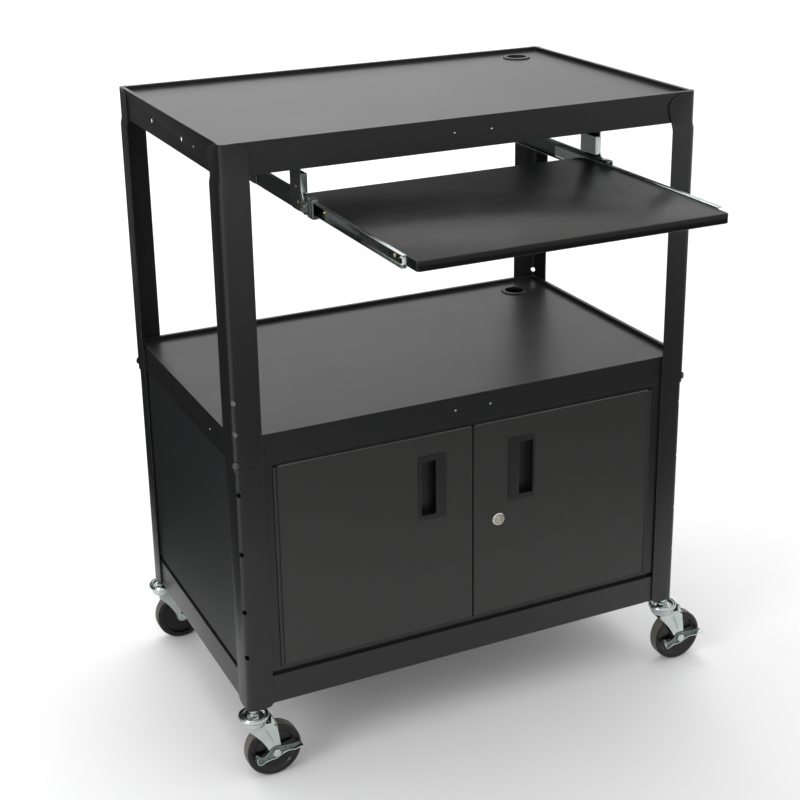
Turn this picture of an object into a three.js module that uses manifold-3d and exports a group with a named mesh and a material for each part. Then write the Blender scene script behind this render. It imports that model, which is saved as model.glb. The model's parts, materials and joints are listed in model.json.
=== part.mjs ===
// Audio visual cart: three steel trays on four telescoping angle legs, a two-door cabinet between
// the lower trays, a keyboard board on ball slides under the top one, and four swivel casters, the
// front pair with rocker brakes. Millimetres, +Z up, the cart's front towards -Y. Inside this file
// the cart is centred on x = 0, y = 0 with the floor at z = 0; the last lines move the group so
// that the bottom centre of the whole part's box is its origin.

import * as THREE from 'three';
import { mergeVertices } from 'three/addons/utils/BufferGeometryUtils.js';
import Module from 'manifold-3d';

const wasm = await Module();
wasm.setup();

// Trays
const trayWidth = 813;
const trayDepth = 508;
const traySheet = 1.2;
const skirtDepth = 49;
const lipWidth = 6.5;
const lipHeight = 7;
const bendRadius = 8;
const sideHoleRadius = 4.2;
const sideHoleHalfPitch = 76.2;
const sideHoleDrop = 26;
const cableHoleRadius = 22;
const cableHoleInsetX = 76.5;
const cableHoleInsetY = 59;
const grommetWall = 3.6;
const grommetFlange = 3.2;
const grommetRise = 2.4;
const grommetTail = 3.6;
const grommetBarb = 1.2;

// Levels
const footDrop = 5;
const cabinetPitch = 422;
const upperPitch = 454;

// Legs
const legWidth = 44;
const legSheet = 2;
const bendSteps = 3;
const upperLegOverlap = 53;
const lowerLegTuck = 3;
const joggleClear = 3;
const joggleHeight = 10;
const toeRadius = 10;
const toeTaper = 5;
const sweepStart = 12;
const sweepDrop = 20;
const sweepRise = 5;
const flareReach = 8;
const flareDrop = 26;
const flareEase = 52;
const flareRun = 60;
const legHoleRadius = 4.6;
const legHolePitch = 50.8;
const boltDrop = 41.5;
const upperHoleSteps = [1, 2];
const lowerHoleSteps = [1, 3, 5];
const lowestHoleRise = 45;
const gussetReach = 36;
const gussetSheet = 3;
const gussetRaise = 1;

// Leg bolts
const boltHeadRadius = 6.5;
const boltHeadHeight = 4;
const boltHeadEdge = 1;
const boltCrownRadius = 4.9;
const boltCrownHeight = 3.2;
const boltNutRadius = 6.5;
const boltNutHeight = 6;
const boltTail = 3;

// Cabinet
const cabinetSheet = 1.2;
const shadowGap = 8.5;
const footFlange = 18;
const topFlange = 14;
const frameReturn = 20;

// Doors and their piano hinges
const doorSheet = 1.2;
const doorDepth = 17;
const doorProud = 2;
const doorBackLip = 12;
const doorMeetingGap = 3;
const doorRise = 15.2;
const doorTopDrop = 7.8;
const doorEndGap = 1.8;
const pinInset = 61.5;
const pinProud = 0.5;
const pinRadius = 1.2;
const knuckleRadius = 3;
const knuckleBore = 1.7;
const knuckleCount = 13;
const knuckleSides = 8;
const leafSheet = 1;
const leafStep = 0.2;
const leafWidth = 16;

// Door handles, sunk cups with a grip lip
const cupWidth = 50;
const cupHeight = 113;
const cupFlange = 1.8;
const cupPlate = 1.2;
const cupDepth = 14;
const cupWall = 1.5;
const gripWidth = 27;
const gripHeight = 96;
const gripEdge = 4;
const cupTopDrop = 36;
const leftCupInset = 74.5;
const rightCupInset = 92;
const cupCorner = 3;

// Cam lock
const lockInset = 47.5;
const lockTopDrop = 177.3;
const lockBarrelRadius = 9.5;
const lockBezelRadius = 11.5;
const lockBezelHeight = 3;
const lockBezelChamfer = 1.2;
const lockNutRadius = 14;
const lockNutHeight = 4;
const plugRadius = 6;
const keySlotWidth = 1.6;
const keySlotDepth = 2.5;
const keySlotHalf = 4.2;
const camLength = 44;
const camWidth = 15;
const camTip = 5;
const camSheet = 2;

// Keyboard board and its slides
const boardWidth = 500;
const boardDepth = 400;
const boardThickness = 15;
const boardCorner = 5;
const boardEdge = 1.2;
const boardDrop = 110;
const boardSetback = 4;
const keyboardTravel = 317;
const railLength = 457;
const railSheet = 1.2;
const movingRailSetback = 30;
const movingRailHeight = 19;
const movingRailDepth = 7.7;
const fixedRailSetback = 14;
const fixedRailHeight = 28;
const fixedRailDepth = 9;
const fixedRailWeb = 12;
const fixedRailSheet = 1.5;
const ballRadius = 1.4;
const ballCount = 4;
const cageSheet = 0.8;
const cageEndGap = 4;
const clipLength = 19;
const clipSheet = 1;

// Hangers, and the channel brackets between them and the slides
const hangerSheet = 2;
const hangerFlange = 22;
const frontHangerSetback = 55;
const frontHangerWidth = 41;
const rearHangerSetback = 246;
const rearHangerWidth = 40;
const hangerFoot = 12.5;
const hangerToe = 8;
const hangerHoleRadius = 2;
const hangerHoleShares = [0.3, 0.42, 0.58];
const bracketSheet = 1.6;
const bracketReach = 9;
const bracketBottom = 17;
const bracketTop = 47;
const toeRun = 21;
const toeDrop = 14;
const toeShoulder = 8;
const toeSideDrop = 6;
const toeBackDrop = 9;
const toeNeck = 21;
const rivetSetback = 44;
const rivetRadius = 2.5;
const rivetHeadRadius = 4;

// Casters
const wheelRadius = 47.6;
const wheelWidth = 24;
const wheelSides = 20;
const hubRadius = 14;
const hubOverhang = 0.8;
const webInset = 4.5;
const rimInner = 36;
const treadRound = 4;
const axleRadius = 4;
const axleHeadRadius = 7.5;
const axleHeadHeight = 4;
const stemInset = 10;
const casterTrail = 30;
const forkGap = 0.7;
const forkSheet = 2.5;
const forkHeadroom = 4.4;
const crownSheet = 3;
const crownRadius = 24;
const eyeRadius = 10.5;
const cheekNose = 18;
const cheekTail = 33;
const cheekPull = 6;
const cheekPullRise = 22;
const cheekSteps = 4;
const shoulderReach = 27;
const shoulderRise = 13;
const bowlRadius = 25.6;
const bowlHeight = 16;
const bowlFlare = 7;
const bowlSheet = 2;
const raceRadius = 21;
const raceRise = 13;
const raceStep = 3;
const recessRadius = 14;
const neckHeight = 11.5;
const jamNutRadius = 11;
const jamNutHeight = 8;
const collarRadius = 8;
const stemRadius = 5;
const stemNutRadius = 8.4;
const stemNutHeight = 6;
const stemTail = 4;

// Rocker brakes on the front casters
const brakeSheet = 2;
const brakeLipSheet = 1.6;
const brakeLip = 10;
const brakeBore = 4.4;
const brakeReach = 44;
const brakeToeShares = [[-0.86, 0.06], [-0.83, -0.18], [-0.69, -0.32], [-0.52, -0.32], [-0.36, -0.26]];
const brakeBellyShares = [[-0.2, -0.24], [0, -0.24]];
const brakePadShares = [[0.2, -0.11], [0.4, 0.02], [0.62, 0.04], [1, 0.1]];
const brakeRightShares = [[1, 0.17], [0.7, 0.16], [0.22, 0.2], [0, 0.22]];
const brakeLeftShares = [[-0.2, 0.14], [-0.4, -0.06], [-0.62, -0.1], [-0.74, 0.08]];

// Clearances and mesh counts
const fit = 0.3;
const axleFit = 0.45;
const overrun = 4;
const boreSides = 8;
const cornerSteps = 3;
const roundSides = 16;
const pinSides = 6;
const hexSides = 6;
const ballRings = 3;
const weldTolerance = 1e-4;

// Sizes worked out from the ones above
const halfWidth = trayWidth / 2;
const halfDepth = trayDepth / 2;
const axleHeight = wheelRadius * Math.cos(Math.PI / wheelSides);
const crownBottom = axleHeight + wheelRadius + forkHeadroom;
const crownTop = crownBottom + crownSheet;
const bowlTop = crownTop + bowlHeight;
const footHeight = bowlTop + neckHeight;
const baseRim = footHeight + footDrop + skirtDepth;
const middleRim = baseRim + cabinetPitch;
const topRim = middleRim + upperPitch;
const deckUnder = lipHeight + traySheet;
const tipReach = legWidth - legSheet - fit;
const bendCentre = fit - bendRadius;
const upperOffset = fit + legSheet + fit;
const boltHeight = middleRim - boltDrop;
const cabinetInset = traySheet + fit;
const cabinetHalfWidth = halfWidth - cabinetInset;
const cabinetHalfDepth = halfDepth - cabinetInset;
const cabinetFloor = baseRim - lipHeight + fit;
const cabinetLedge = baseRim + shadowGap;
const cabinetTop = middleRim - deckUnder - fit;
const returnTop = boltHeight - 2 * boltNutRadius;
const footStep = lipWidth - cabinetInset + fit;
const panelHalfWidth = halfWidth - bendRadius - fit;
const panelHalfDepth = halfDepth - bendRadius - fit;
const flangeHalfWidth = cabinetHalfWidth - footStep - footFlange - fit;
const pinX = halfWidth - pinInset;
const doorFace = -cabinetHalfDepth - doorProud;
const pinY = -cabinetHalfDepth - pinProud;
const doorBottom = baseRim + doorRise;
const doorTop = middleRim - skirtDepth - doorTopDrop;
const doorEdge = pinX - knuckleRadius - fit;
const jambX = pinX + knuckleRadius + fit;
const hingeBottom = doorBottom + fit;
const knucklePitch = (doorTop - fit - hingeBottom) / knuckleCount;
const cupCentreZ = doorTop - cupTopDrop - cupHeight / 2;
const lockZ = doorTop - lockTopDrop;
const boardTop = topRim - boardDrop;
const railZ = boardTop - boardThickness / 2;
const boardFront = -halfDepth + boardSetback - keyboardTravel;
const movingFront = boardFront + movingRailSetback;
const fixedFront = -halfDepth + fixedRailSetback;
const railOverlap = movingFront + railLength - fixedFront;
const cageLength = railOverlap - 2 * cageEndGap;
const railOuter = boardWidth / 2 + fixedRailWeb;
const hangerTop = topRim - deckUnder - fit;
const forkInner = wheelWidth / 2 + hubOverhang + forkGap;
const forkOuter = forkInner + forkSheet;
const swivelX = halfWidth - stemInset;
const swivelY = halfDepth - stemInset;

// Finishes
const finishes = {
  powderCoat: { color: 0x2d2e30, roughness: 0.45, metalness: 0.25 },
  laminate: { color: 0x27282a, roughness: 0.5, metalness: 0 },
  blackPlastic: { color: 0x18191a, roughness: 0.55, metalness: 0 },
  zinc: { color: 0xc4cbc8, roughness: 0.28, metalness: 0.9 },
  blackOxide: { color: 0x232425, roughness: 0.4, metalness: 0.6 },
  wheelRubber: { color: 0x1b1b1c, roughness: 0.35, metalness: 0 },
  nickel: { color: 0xd9d8d0, roughness: 0.22, metalness: 0.95 },
};

// Outlines as lists of points

function arc(x, y, radius, from, to, steps) {
  const points = [];
  for (let step = 0; step <= steps; step += 1) {
    const angle = from + ((to - from) * step) / steps;
    points.push(new THREE.Vector2(x + radius * Math.cos(angle), y + radius * Math.sin(angle)));
  }
  return points;
}

function circle(x, y, radius, sides = boreSides) {
  return arc(x, y, radius, 0, 2 * Math.PI, sides).slice(0, -1);
}

function roundedRectangle(width, depth, radius, x = 0, y = 0) {
  const right = x + width / 2 - radius;
  const left = x - width / 2 + radius;
  const back = y + depth / 2 - radius;
  const front = y - depth / 2 + radius;
  const quarter = Math.PI / 2;
  return [
    ...arc(right, back, radius, 0, quarter, cornerSteps),
    ...arc(left, back, radius, quarter, 2 * quarter, cornerSteps),
    ...arc(left, front, radius, 2 * quarter, 3 * quarter, cornerSteps),
    ...arc(right, front, radius, 3 * quarter, 4 * quarter, cornerSteps),
  ];
}

function pointsOf(pairs) {
  return pairs.map(([x, y]) => new THREE.Vector2(x, y));
}

function curve(start, pull, end, steps) {
  return new THREE.QuadraticBezierCurve(...pointsOf([start, pull, end])).getPoints(steps);
}

// A sheet folded along a path: the path is one face and the other lies to its right.
function foldedSheet(pairs, sheet) {
  const path = pointsOf(pairs);
  const normals = path.slice(1).map((point, index) => {
    const run = point.clone().sub(path[index]).normalize();
    return new THREE.Vector2(run.y, -run.x);
  });
  const far = path.map((point, index) => {
    const before = normals[Math.max(index - 1, 0)];
    const after = normals[Math.min(index, normals.length - 1)];
    const mitre = before.clone().add(after).multiplyScalar(sheet / (1 + before.dot(after)));
    return point.clone().add(mitre);
  });
  return [...path, ...far.reverse()];
}

// Solids

function toSolid(geometry) {
  const bare = geometry.clone();
  bare.deleteAttribute('normal');
  bare.deleteAttribute('uv');
  const merged = mergeVertices(bare, weldTolerance);
  const index = merged.index.array;
  const corners = [];
  for (let i = 0; i < index.length; i += 3) {
    const [a, b, c] = [index[i], index[i + 1], index[i + 2]];
    if (a !== b && b !== c && c !== a) corners.push(a, b, c);
  }
  return new wasm.Manifold(new wasm.Mesh({
    numProp: 3,
    vertProperties: new Float32Array(merged.attributes.position.array),
    triVerts: new Uint32Array(corners),
  }));
}

function extruded(outline, depth, holes = []) {
  const shape = new THREE.Shape(outline);
  shape.holes = holes.map((hole) => new THREE.Path(hole));
  return new THREE.ExtrudeGeometry(shape, { depth, bevelEnabled: false });
}

// An outline in x and y, from one height to another.
function alongZ(outline, bottom, top, holes = []) {
  const geometry = extruded(outline, top - bottom, holes);
  geometry.translate(0, 0, bottom);
  return toSolid(geometry);
}

// An outline in x and z, from the front to the back.
function alongY(outline, front, back, holes = []) {
  const geometry = extruded(outline, back - front, holes);
  geometry.rotateX(Math.PI / 2);
  geometry.translate(0, back, 0);
  return toSolid(geometry);
}

// An outline in y and z, from left to right.
function alongX(outline, left, right, holes = []) {
  const geometry = extruded(outline, right - left, holes);
  const turn = new THREE.Matrix4().makeBasis(
    new THREE.Vector3(0, 1, 0),
    new THREE.Vector3(0, 0, 1),
    new THREE.Vector3(1, 0, 0),
  );
  geometry.applyMatrix4(turn);
  geometry.translate(left, 0, 0);
  return toSolid(geometry);
}

function block(x, y, z) {
  const [width, depth, height] = [x, y, z].map(([low, high]) => high - low);
  const geometry = new THREE.BoxGeometry(width, depth, height);
  geometry.translate((x[0] + x[1]) / 2, (y[0] + y[1]) / 2, (z[0] + z[1]) / 2);
  return toSolid(geometry);
}

// A straight round bar between two points.
function rod(start, end, radius, sides = boreSides) {
  const [from, to] = [new THREE.Vector3(...start), new THREE.Vector3(...end)];
  const run = to.clone().sub(from);
  const geometry = new THREE.CylinderGeometry(radius, radius, run.length(), sides);
  const up = new THREE.Vector3(0, 1, 0);
  geometry.applyQuaternion(new THREE.Quaternion().setFromUnitVectors(up, run.clone().normalize()));
  geometry.translate(...from.add(to).multiplyScalar(1 / 2).toArray());
  return toSolid(geometry);
}

// A profile of radius and height turned about the Z axis.
function turnedUp(profile, sides = roundSides) {
  const geometry = new THREE.LatheGeometry(pointsOf(profile), sides);
  geometry.rotateX(Math.PI / 2);
  return toSolid(geometry);
}

// A profile of radius and y turned about the Y axis, with a flat facet straight below the axis.
function turnedAcross(profile, sides = roundSides) {
  return toSolid(new THREE.LatheGeometry(pointsOf(profile), sides, Math.PI / sides));
}

// A closed skin through rings of points that rise from one level to the next.
function loft(rings) {
  const count = rings[0].points.length;
  const positions = rings.flatMap(({ points, z }) => points.flatMap((point) => [point.x, point.y, z]));
  const corners = [];
  for (let level = 0; level + 1 < rings.length; level += 1) {
    for (let step = 0; step < count; step += 1) {
      const low = level * count + step;
      const next = level * count + ((step + 1) % count);
      corners.push(low, next, next + count, low, next + count, low + count);
    }
  }
  const top = (rings.length - 1) * count;
  for (const [a, b, c] of THREE.ShapeUtils.triangulateShape(rings[0].points, [])) {
    corners.push(c, b, a);
  }
  for (const [a, b, c] of THREE.ShapeUtils.triangulateShape(rings.at(-1).points, [])) {
    corners.push(top + a, top + b, top + c);
  }
  const geometry = new THREE.BufferGeometry();
  geometry.setAttribute('position', new THREE.Float32BufferAttribute(positions, 3));
  geometry.setIndex(corners);
  return toSolid(geometry);
}

function joined(solids) {
  return solids.reduce((whole, solid) => whole.add(solid));
}

function cut(solid, tools) {
  return tools.reduce((rest, tool) => rest.subtract(tool), solid);
}

function place(parent, name, solid, finish) {
  const { vertProperties, triVerts } = solid.getMesh();
  const geometry = new THREE.BufferGeometry();
  geometry.setAttribute('position', new THREE.Float32BufferAttribute(vertProperties, 3));
  geometry.setIndex(Array.from(triVerts));
  geometry.computeVertexNormals();
  const mesh = new THREE.Mesh(geometry, new THREE.MeshStandardMaterial(finish));
  mesh.name = name;
  parent.add(mesh);
}

function groupAt(parent, x, y, z, turn = 0) {
  const group = new THREE.Group();
  group.position.set(x, y, z);
  group.rotation.z = turn;
  parent.add(group);
  return group;
}

// Trays: one folded skirt, a retaining lip that is open below, and a deck inside it

function trayRing(inset) {
  const radius = Math.max(bendRadius - inset, traySheet);
  return roundedRectangle(trayWidth - 2 * inset, trayDepth - 2 * inset, radius);
}

function tray({ cableHole, sideHoles, boltHoles }) {
  const lipInner = lipWidth - traySheet;
  const body = alongZ(trayRing(0), -skirtDepth, 0);
  const above = alongZ(trayRing(lipWidth), -lipHeight, overrun);
  const below = alongZ(trayRing(traySheet), -skirtDepth - overrun, -deckUnder);
  const channelBottom = -deckUnder - traySheet;
  const channel = alongZ(trayRing(traySheet), channelBottom, -traySheet, [trayRing(lipInner)]);
  const tools = [above, below, channel];
  if (cableHole) tools.push(cableBore());
  if (sideHoles) tools.push(...sideBores());
  if (boltHoles) tools.push(...cornerBores());
  return cut(body, tools);
}

function cableBore() {
  const x = halfWidth - cableHoleInsetX;
  const y = halfDepth - cableHoleInsetY;
  return alongZ(circle(x, y, cableHoleRadius, roundSides), -deckUnder - overrun, overrun);
}

function sideBores() {
  return [-1, 1].flatMap((side) => [-1, 1].map((end) => {
    const y = end * sideHoleHalfPitch;
    const inner = [side * (halfWidth - lipWidth), y, -sideHoleDrop];
    const outer = [side * (halfWidth + overrun), y, -sideHoleDrop];
    return rod(inner, outer, sideHoleRadius);
  }));
}

function cornerBores() {
  const reach = bendRadius;
  return [[1, 1], [-1, 1], [-1, -1], [1, -1]].map(([sx, sy]) => {
    const inner = [sx * (halfWidth - reach), sy * (halfDepth - reach), -boltDrop];
    const outer = [sx * (halfWidth + reach), sy * (halfDepth + reach), -boltDrop];
    return rod(inner, outer, legHoleRadius);
  });
}

function grommet() {
  const tube = cableHoleRadius - fit;
  const bore = tube - grommetWall;
  const flange = cableHoleRadius + grommetFlange;
  const snap = -traySheet - fit;
  const tail = snap - grommetTail;
  const barb = cableHoleRadius + grommetBarb;
  const top = fit + grommetRise;
  return turnedUp([
    [bore, top],
    [bore, tail],
    [tube, tail],
    [barb, snap - grommetBarb],
    [barb, snap],
    [tube, snap],
    [tube, fit],
    [flange, fit],
    [flange, top - grommetBarb],
    [flange - grommetBarb, top],
    [bore, top],
  ]);
}

// Legs: an angle with a rounded bend, drawn about the trays' sharp corner at the local origin. One
// flange runs along -X and the other along -Y, so four quarter turns make the four corners.

function angleRing(offset, reachX, reachY) {
  const outer = offset + legSheet;
  const quarter = Math.PI / 2;
  const outerRadius = outer - bendCentre;
  const innerRadius = offset - bendCentre;
  return [
    ...arc(bendCentre, bendCentre, outerRadius, 0, quarter, bendSteps),
    new THREE.Vector2(-reachX, outer),
    new THREE.Vector2(-reachX, offset),
    ...arc(bendCentre, bendCentre, innerRadius, quarter, 0, bendSteps),
    new THREE.Vector2(offset, -reachY),
    new THREE.Vector2(outer, -reachY),
  ];
}

// The flat outline of an upper leg's flange, from the corner's outside (positive) to its free edge.
function upperFlange(length, flare) {
  const outside = legWidth;
  const widest = -tipReach - flare;
  const sweep = flare
    ? [
      ...curve([-sweepStart, 0], [widest, -sweepRise], [widest, -flareDrop], 2 * bendSteps),
      ...curve([widest, -flareDrop], [-tipReach, -flareEase], [-tipReach, -flareRun], bendSteps),
    ]
    : curve([-sweepStart, 0], [-tipReach, -sweepRise], [-tipReach, -sweepDrop], 2 * bendSteps);
  return [
    ...pointsOf([[outside, 0]]),
    ...sweep,
    ...pointsOf([
      [-tipReach, -length + 2 * toeTaper],
      [-tipReach + toeTaper, -length],
      [outside, -length],
    ]),
  ];
}

function lowerFlange(length) {
  const outside = legWidth;
  const tip = -tipReach + toeRadius;
  const low = -length + toeRadius;
  return [
    ...pointsOf([
      [outside, 0],
      [-tipReach + toeTaper, 0],
      [-tipReach, -toeTaper],
    ]),
    ...arc(tip, low, toeRadius, Math.PI, (3 * Math.PI) / 2, cornerSteps),
    ...pointsOf([[outside, -length]]),
  ];
}

function trimmed(angle, outlineX, outlineY) {
  const span = legWidth + flareReach + overrun;
  return angle
    .intersect(alongY(outlineX, -span, span))
    .intersect(alongX(outlineY, -span, span));
}

function bendBore(z) {
  const reach = 2 * bendRadius;
  return rod([-reach, -reach, z], [reach, reach, z], legHoleRadius);
}

function upperLeg() {
  const length = upperPitch + upperLegOverlap;
  const joggleTop = -skirtDepth - joggleClear;
  const wide = tipReach + flareReach;
  const tight = angleRing(fit, wide, wide);
  const loose = angleRing(upperOffset, wide, wide);
  const angle = loft([
    { points: loose, z: -length },
    { points: loose, z: joggleTop - joggleHeight },
    { points: tight, z: joggleTop },
    { points: tight, z: 0 },
  ]);
  const body = trimmed(angle, upperFlange(length, 0), upperFlange(length, flareReach));
  const bolt = boltHeight - topRim;
  const holes = [0, ...upperHoleSteps].map((step) => bendBore(bolt + step * legHolePitch));
  return cut(body, holes);
}

function gusset() {
  const mid = fit + legSheet / 2;
  const edge = [
    ...arc(bendCentre, bendCentre, mid - bendCentre, 0, Math.PI / 2, bendSteps),
    ...pointsOf([
      [-gussetReach, mid],
      [-gussetReach, -stemInset],
      [-stemInset, -gussetReach],
      [mid, -gussetReach],
    ]),
  ];
  const bottom = footHeight - (middleRim - lowerLegTuck) + gussetRaise;
  const hole = circle(-stemInset, -stemInset, stemRadius + fit, roundSides);
  return alongZ(edge, bottom, bottom + gussetSheet, [hole]);
}

function lowerLeg() {
  const length = middleRim - lowerLegTuck - footHeight;
  const ring = angleRing(fit, tipReach, tipReach);
  const angle = alongZ(ring, -length, 0);
  const body = trimmed(angle, lowerFlange(length), lowerFlange(length)).add(gusset());
  const bolt = boltHeight - (middleRim - lowerLegTuck);
  const heights = [0, ...lowerHoleSteps].map((step) => bolt - step * legHolePitch);
  heights.push(baseRim + lowestHoleRise - (middleRim - lowerLegTuck));
  return cut(body, heights.map(bendBore));
}

// The bolt that sets a leg's height: a domed head outside, a nut inside the tray's corner.
function legBolt() {
  const facet = Math.cos(Math.PI / (4 * bendSteps));
  const centre = bendCentre * Math.SQRT2;
  const seat = centre + (upperOffset + legSheet - bendCentre) * facet + fit;
  const inside = -(cabinetInset + cabinetSheet + fit) * Math.SQRT2 - boltNutRadius;
  const tail = inside - boltNutHeight - boltTail;
  const shank = legHoleRadius - 2 * fit;
  const body = turnedUp([
    [0, tail],
    [shank, tail],
    [shank, seat],
    [boltHeadRadius, seat],
    [boltHeadRadius, seat + boltHeadEdge],
    [boltCrownRadius, seat + boltCrownHeight],
    [0, seat + boltHeadHeight],
  ], boreSides);
  const nut = rod([0, 0, inside - boltNutHeight], [0, 0, inside], boltNutRadius, hexSides);
  return body.add(nut);
}

function addLegs(cart) {
  const corners = [
    ['back_right', 1, 1],
    ['back_left', -1, 1],
    ['front_left', -1, -1],
    ['front_right', 1, -1],
  ];
  const outwards = new THREE.Vector3(1, 1, 0).normalize();
  const boltTurn = new THREE.Quaternion().setFromUnitVectors(new THREE.Vector3(0, 0, 1), outwards);
  corners.forEach(([name, sx, sy], quarter) => {
    const corner = groupAt(cart, sx * halfWidth, sy * halfDepth, 0, (quarter * Math.PI) / 2);
    const upper = groupAt(corner, 0, 0, topRim);
    place(upper, `upper_leg_${name}`, upperLeg(), finishes.powderCoat);
    const lower = groupAt(corner, 0, 0, middleRim - lowerLegTuck);
    place(lower, `lower_leg_${name}`, lowerLeg(), finishes.powderCoat);
    const bolt = groupAt(corner, 0, 0, boltHeight);
    bolt.quaternion.copy(boltTurn);
    place(bolt, `leg_bolt_${name}`, legBolt(), finishes.blackOxide);
  });
}

// Cabinet panels: sheet folded to step over the base tray's lip and to meet the deck above

function panelPath(outer, towards) {
  const inward = (distance) => outer + towards * distance;
  const path = [
    [inward(footStep + footFlange), cabinetFloor],
    [inward(footStep), cabinetFloor],
    [inward(footStep), cabinetLedge],
    [outer, cabinetLedge],
    [outer, cabinetTop],
    [inward(topFlange), cabinetTop],
  ];
  return towards > 0 ? path : path.reverse();
}

function sidePanel(side) {
  const outer = side * cabinetHalfWidth;
  const outline = foldedSheet(panelPath(outer, -side), cabinetSheet);
  const skin = alongY(outline, -panelHalfDepth, panelHalfDepth);
  const inner = side * (panelHalfWidth + 2 * fit);
  const x = [Math.min(inner, outer - side * fit), Math.max(inner, outer - side * fit)];
  const z = [cabinetLedge + fit, returnTop];
  const returns = [-1, 1].map((end) => {
    const edge = end * panelHalfDepth;
    const y = [edge, edge - end * cabinetSheet].sort((a, b) => a - b);
    return block(x, y, z);
  });
  return joined([skin, ...returns]);
}

// The skin that the back panel and the door frame share, with its corners cut for the side panels.
function endSkin(end) {
  const outer = end * cabinetHalfDepth;
  const outline = foldedSheet(panelPath(outer, -end), cabinetSheet);
  const skin = alongX(outline, -panelHalfWidth, panelHalfWidth);
  const behindWall = outer - end * (footStep + cabinetSheet + fit);
  const farIn = outer - end * (footStep + footFlange + overrun);
  const y = [behindWall, farIn].sort((a, b) => a - b);
  const z = [cabinetFloor - overrun, cabinetTop + overrun];
  const corners = [-1, 1].map((side) => {
    const x = [side * flangeHalfWidth, side * (panelHalfWidth + overrun)].sort((a, b) => a - b);
    return block(x, y, z);
  });
  return cut(skin, corners);
}

function endReturns(end) {
  const outer = end * cabinetHalfDepth;
  const y = [outer - (end * cabinetSheet) / 2, outer - end * frameReturn].sort((a, b) => a - b);
  const z = [cabinetLedge + cabinetSheet / 2, returnTop];
  return [-1, 1].map((side) => {
    const edge = side * panelHalfWidth;
    const x = [edge, edge - side * cabinetSheet].sort((a, b) => a - b);
    return block(x, y, z);
  });
}

function backPanel() {
  return joined([endSkin(1), ...endReturns(1)]);
}

function doorFrame() {
  const bottom = doorBottom - doorEndGap;
  const top = doorTop + doorEndGap;
  const front = -cabinetHalfDepth;
  const opening = block(
    [-jambX, jambX],
    [front - overrun, front + cabinetSheet + overrun],
    [bottom, top],
  );
  const jamb = [front + cabinetSheet / 2, front + frameReturn];
  const outside = block(
    [-jambX - cabinetSheet, jambX + cabinetSheet],
    jamb,
    [bottom - cabinetSheet, top + cabinetSheet],
  );
  const inside = block([-jambX, jambX], [front - overrun, front + frameReturn + overrun], [bottom, top]);
  const lining = cut(outside, [inside]);
  return joined([cut(endSkin(-1), [opening]), ...endReturns(-1), lining]);
}

// Piano hinges: knuckles shared in turn by the frame leaf, which holds the pin, and the door leaf

function knuckleOutline(centre, towards) {
  const radius = knuckleRadius;
  const flat = radius * Math.tan(Math.PI / knuckleSides);
  const seat = radius + 2 * fit;
  const outline = [
    [radius, seat],
    [radius, -flat],
    [flat, -radius],
    [-flat, -radius],
    [-radius, -flat],
    [-radius, flat],
    [-flat, radius],
    [radius - leafSheet / 2, seat],
  ];
  return pointsOf(outline.map(([across, back]) => [centre + towards * across, pinY + back]));
}

function hingeLeaf(side, first) {
  const towards = first ? side : -side;
  const far = pinX * side + towards * (knuckleRadius - leafStep);
  const near = far - towards * leafSheet;
  const x = [near, far].sort((a, b) => a - b);
  const relief = pinY + knuckleRadius + fit;
  const centre = pinX * side;
  const top = hingeBottom + knuckleCount * knucklePitch;
  const parts = [block(x, [relief, pinY + leafWidth], [hingeBottom, top])];
  for (let index = first ? 0 : 1; index < knuckleCount; index += 2) {
    const low = hingeBottom + index * knucklePitch + fit / 2;
    const high = low + knucklePitch - fit;
    const bore = circle(centre, pinY, knuckleBore, pinSides);
    parts.push(alongZ(knuckleOutline(centre, towards), low, high, first ? [] : [bore]));
  }
  if (first) {
    const ends = [hingeBottom + fit, top - fit];
    parts.push(alongZ(circle(centre, pinY, pinRadius, pinSides), ...ends));
  }
  return joined(parts);
}

// Doors: pans with returned edges, a window for the handle cup and, on the right, the lock's hole

function doorPan(side) {
  const meeting = (side * doorMeetingGap) / 2;
  const x = [meeting, side * doorEdge].sort((a, b) => a - b);
  const back = doorFace + doorDepth;
  const shell = block(x, [doorFace, back], [doorBottom, doorTop]);
  const inset = (range, distance) => [range[0] + distance, range[1] - distance];
  const hollow = block(
    inset(x, doorSheet),
    [doorFace + doorSheet, back - doorSheet],
    inset([doorBottom, doorTop], doorSheet),
  );
  const mouth = block(
    inset(x, doorBackLip),
    [back - 2 * doorSheet, back + overrun],
    inset([doorBottom, doorTop], doorBackLip),
  );
  return cut(shell, [hollow, mouth, cupWindow(side)]);
}

function cupCentreX(side) {
  return side < 0 ? -leftCupInset : rightCupInset;
}

function cupWindow(side) {
  const width = cupWidth - 2 * cupFlange + 2 * fit;
  const height = cupHeight - 2 * cupFlange + 2 * fit;
  const outline = roundedRectangle(width, height, cupCorner, cupCentreX(side), cupCentreZ);
  return alongY(outline, doorFace - overrun, doorFace + doorSheet + overrun);
}

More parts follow.
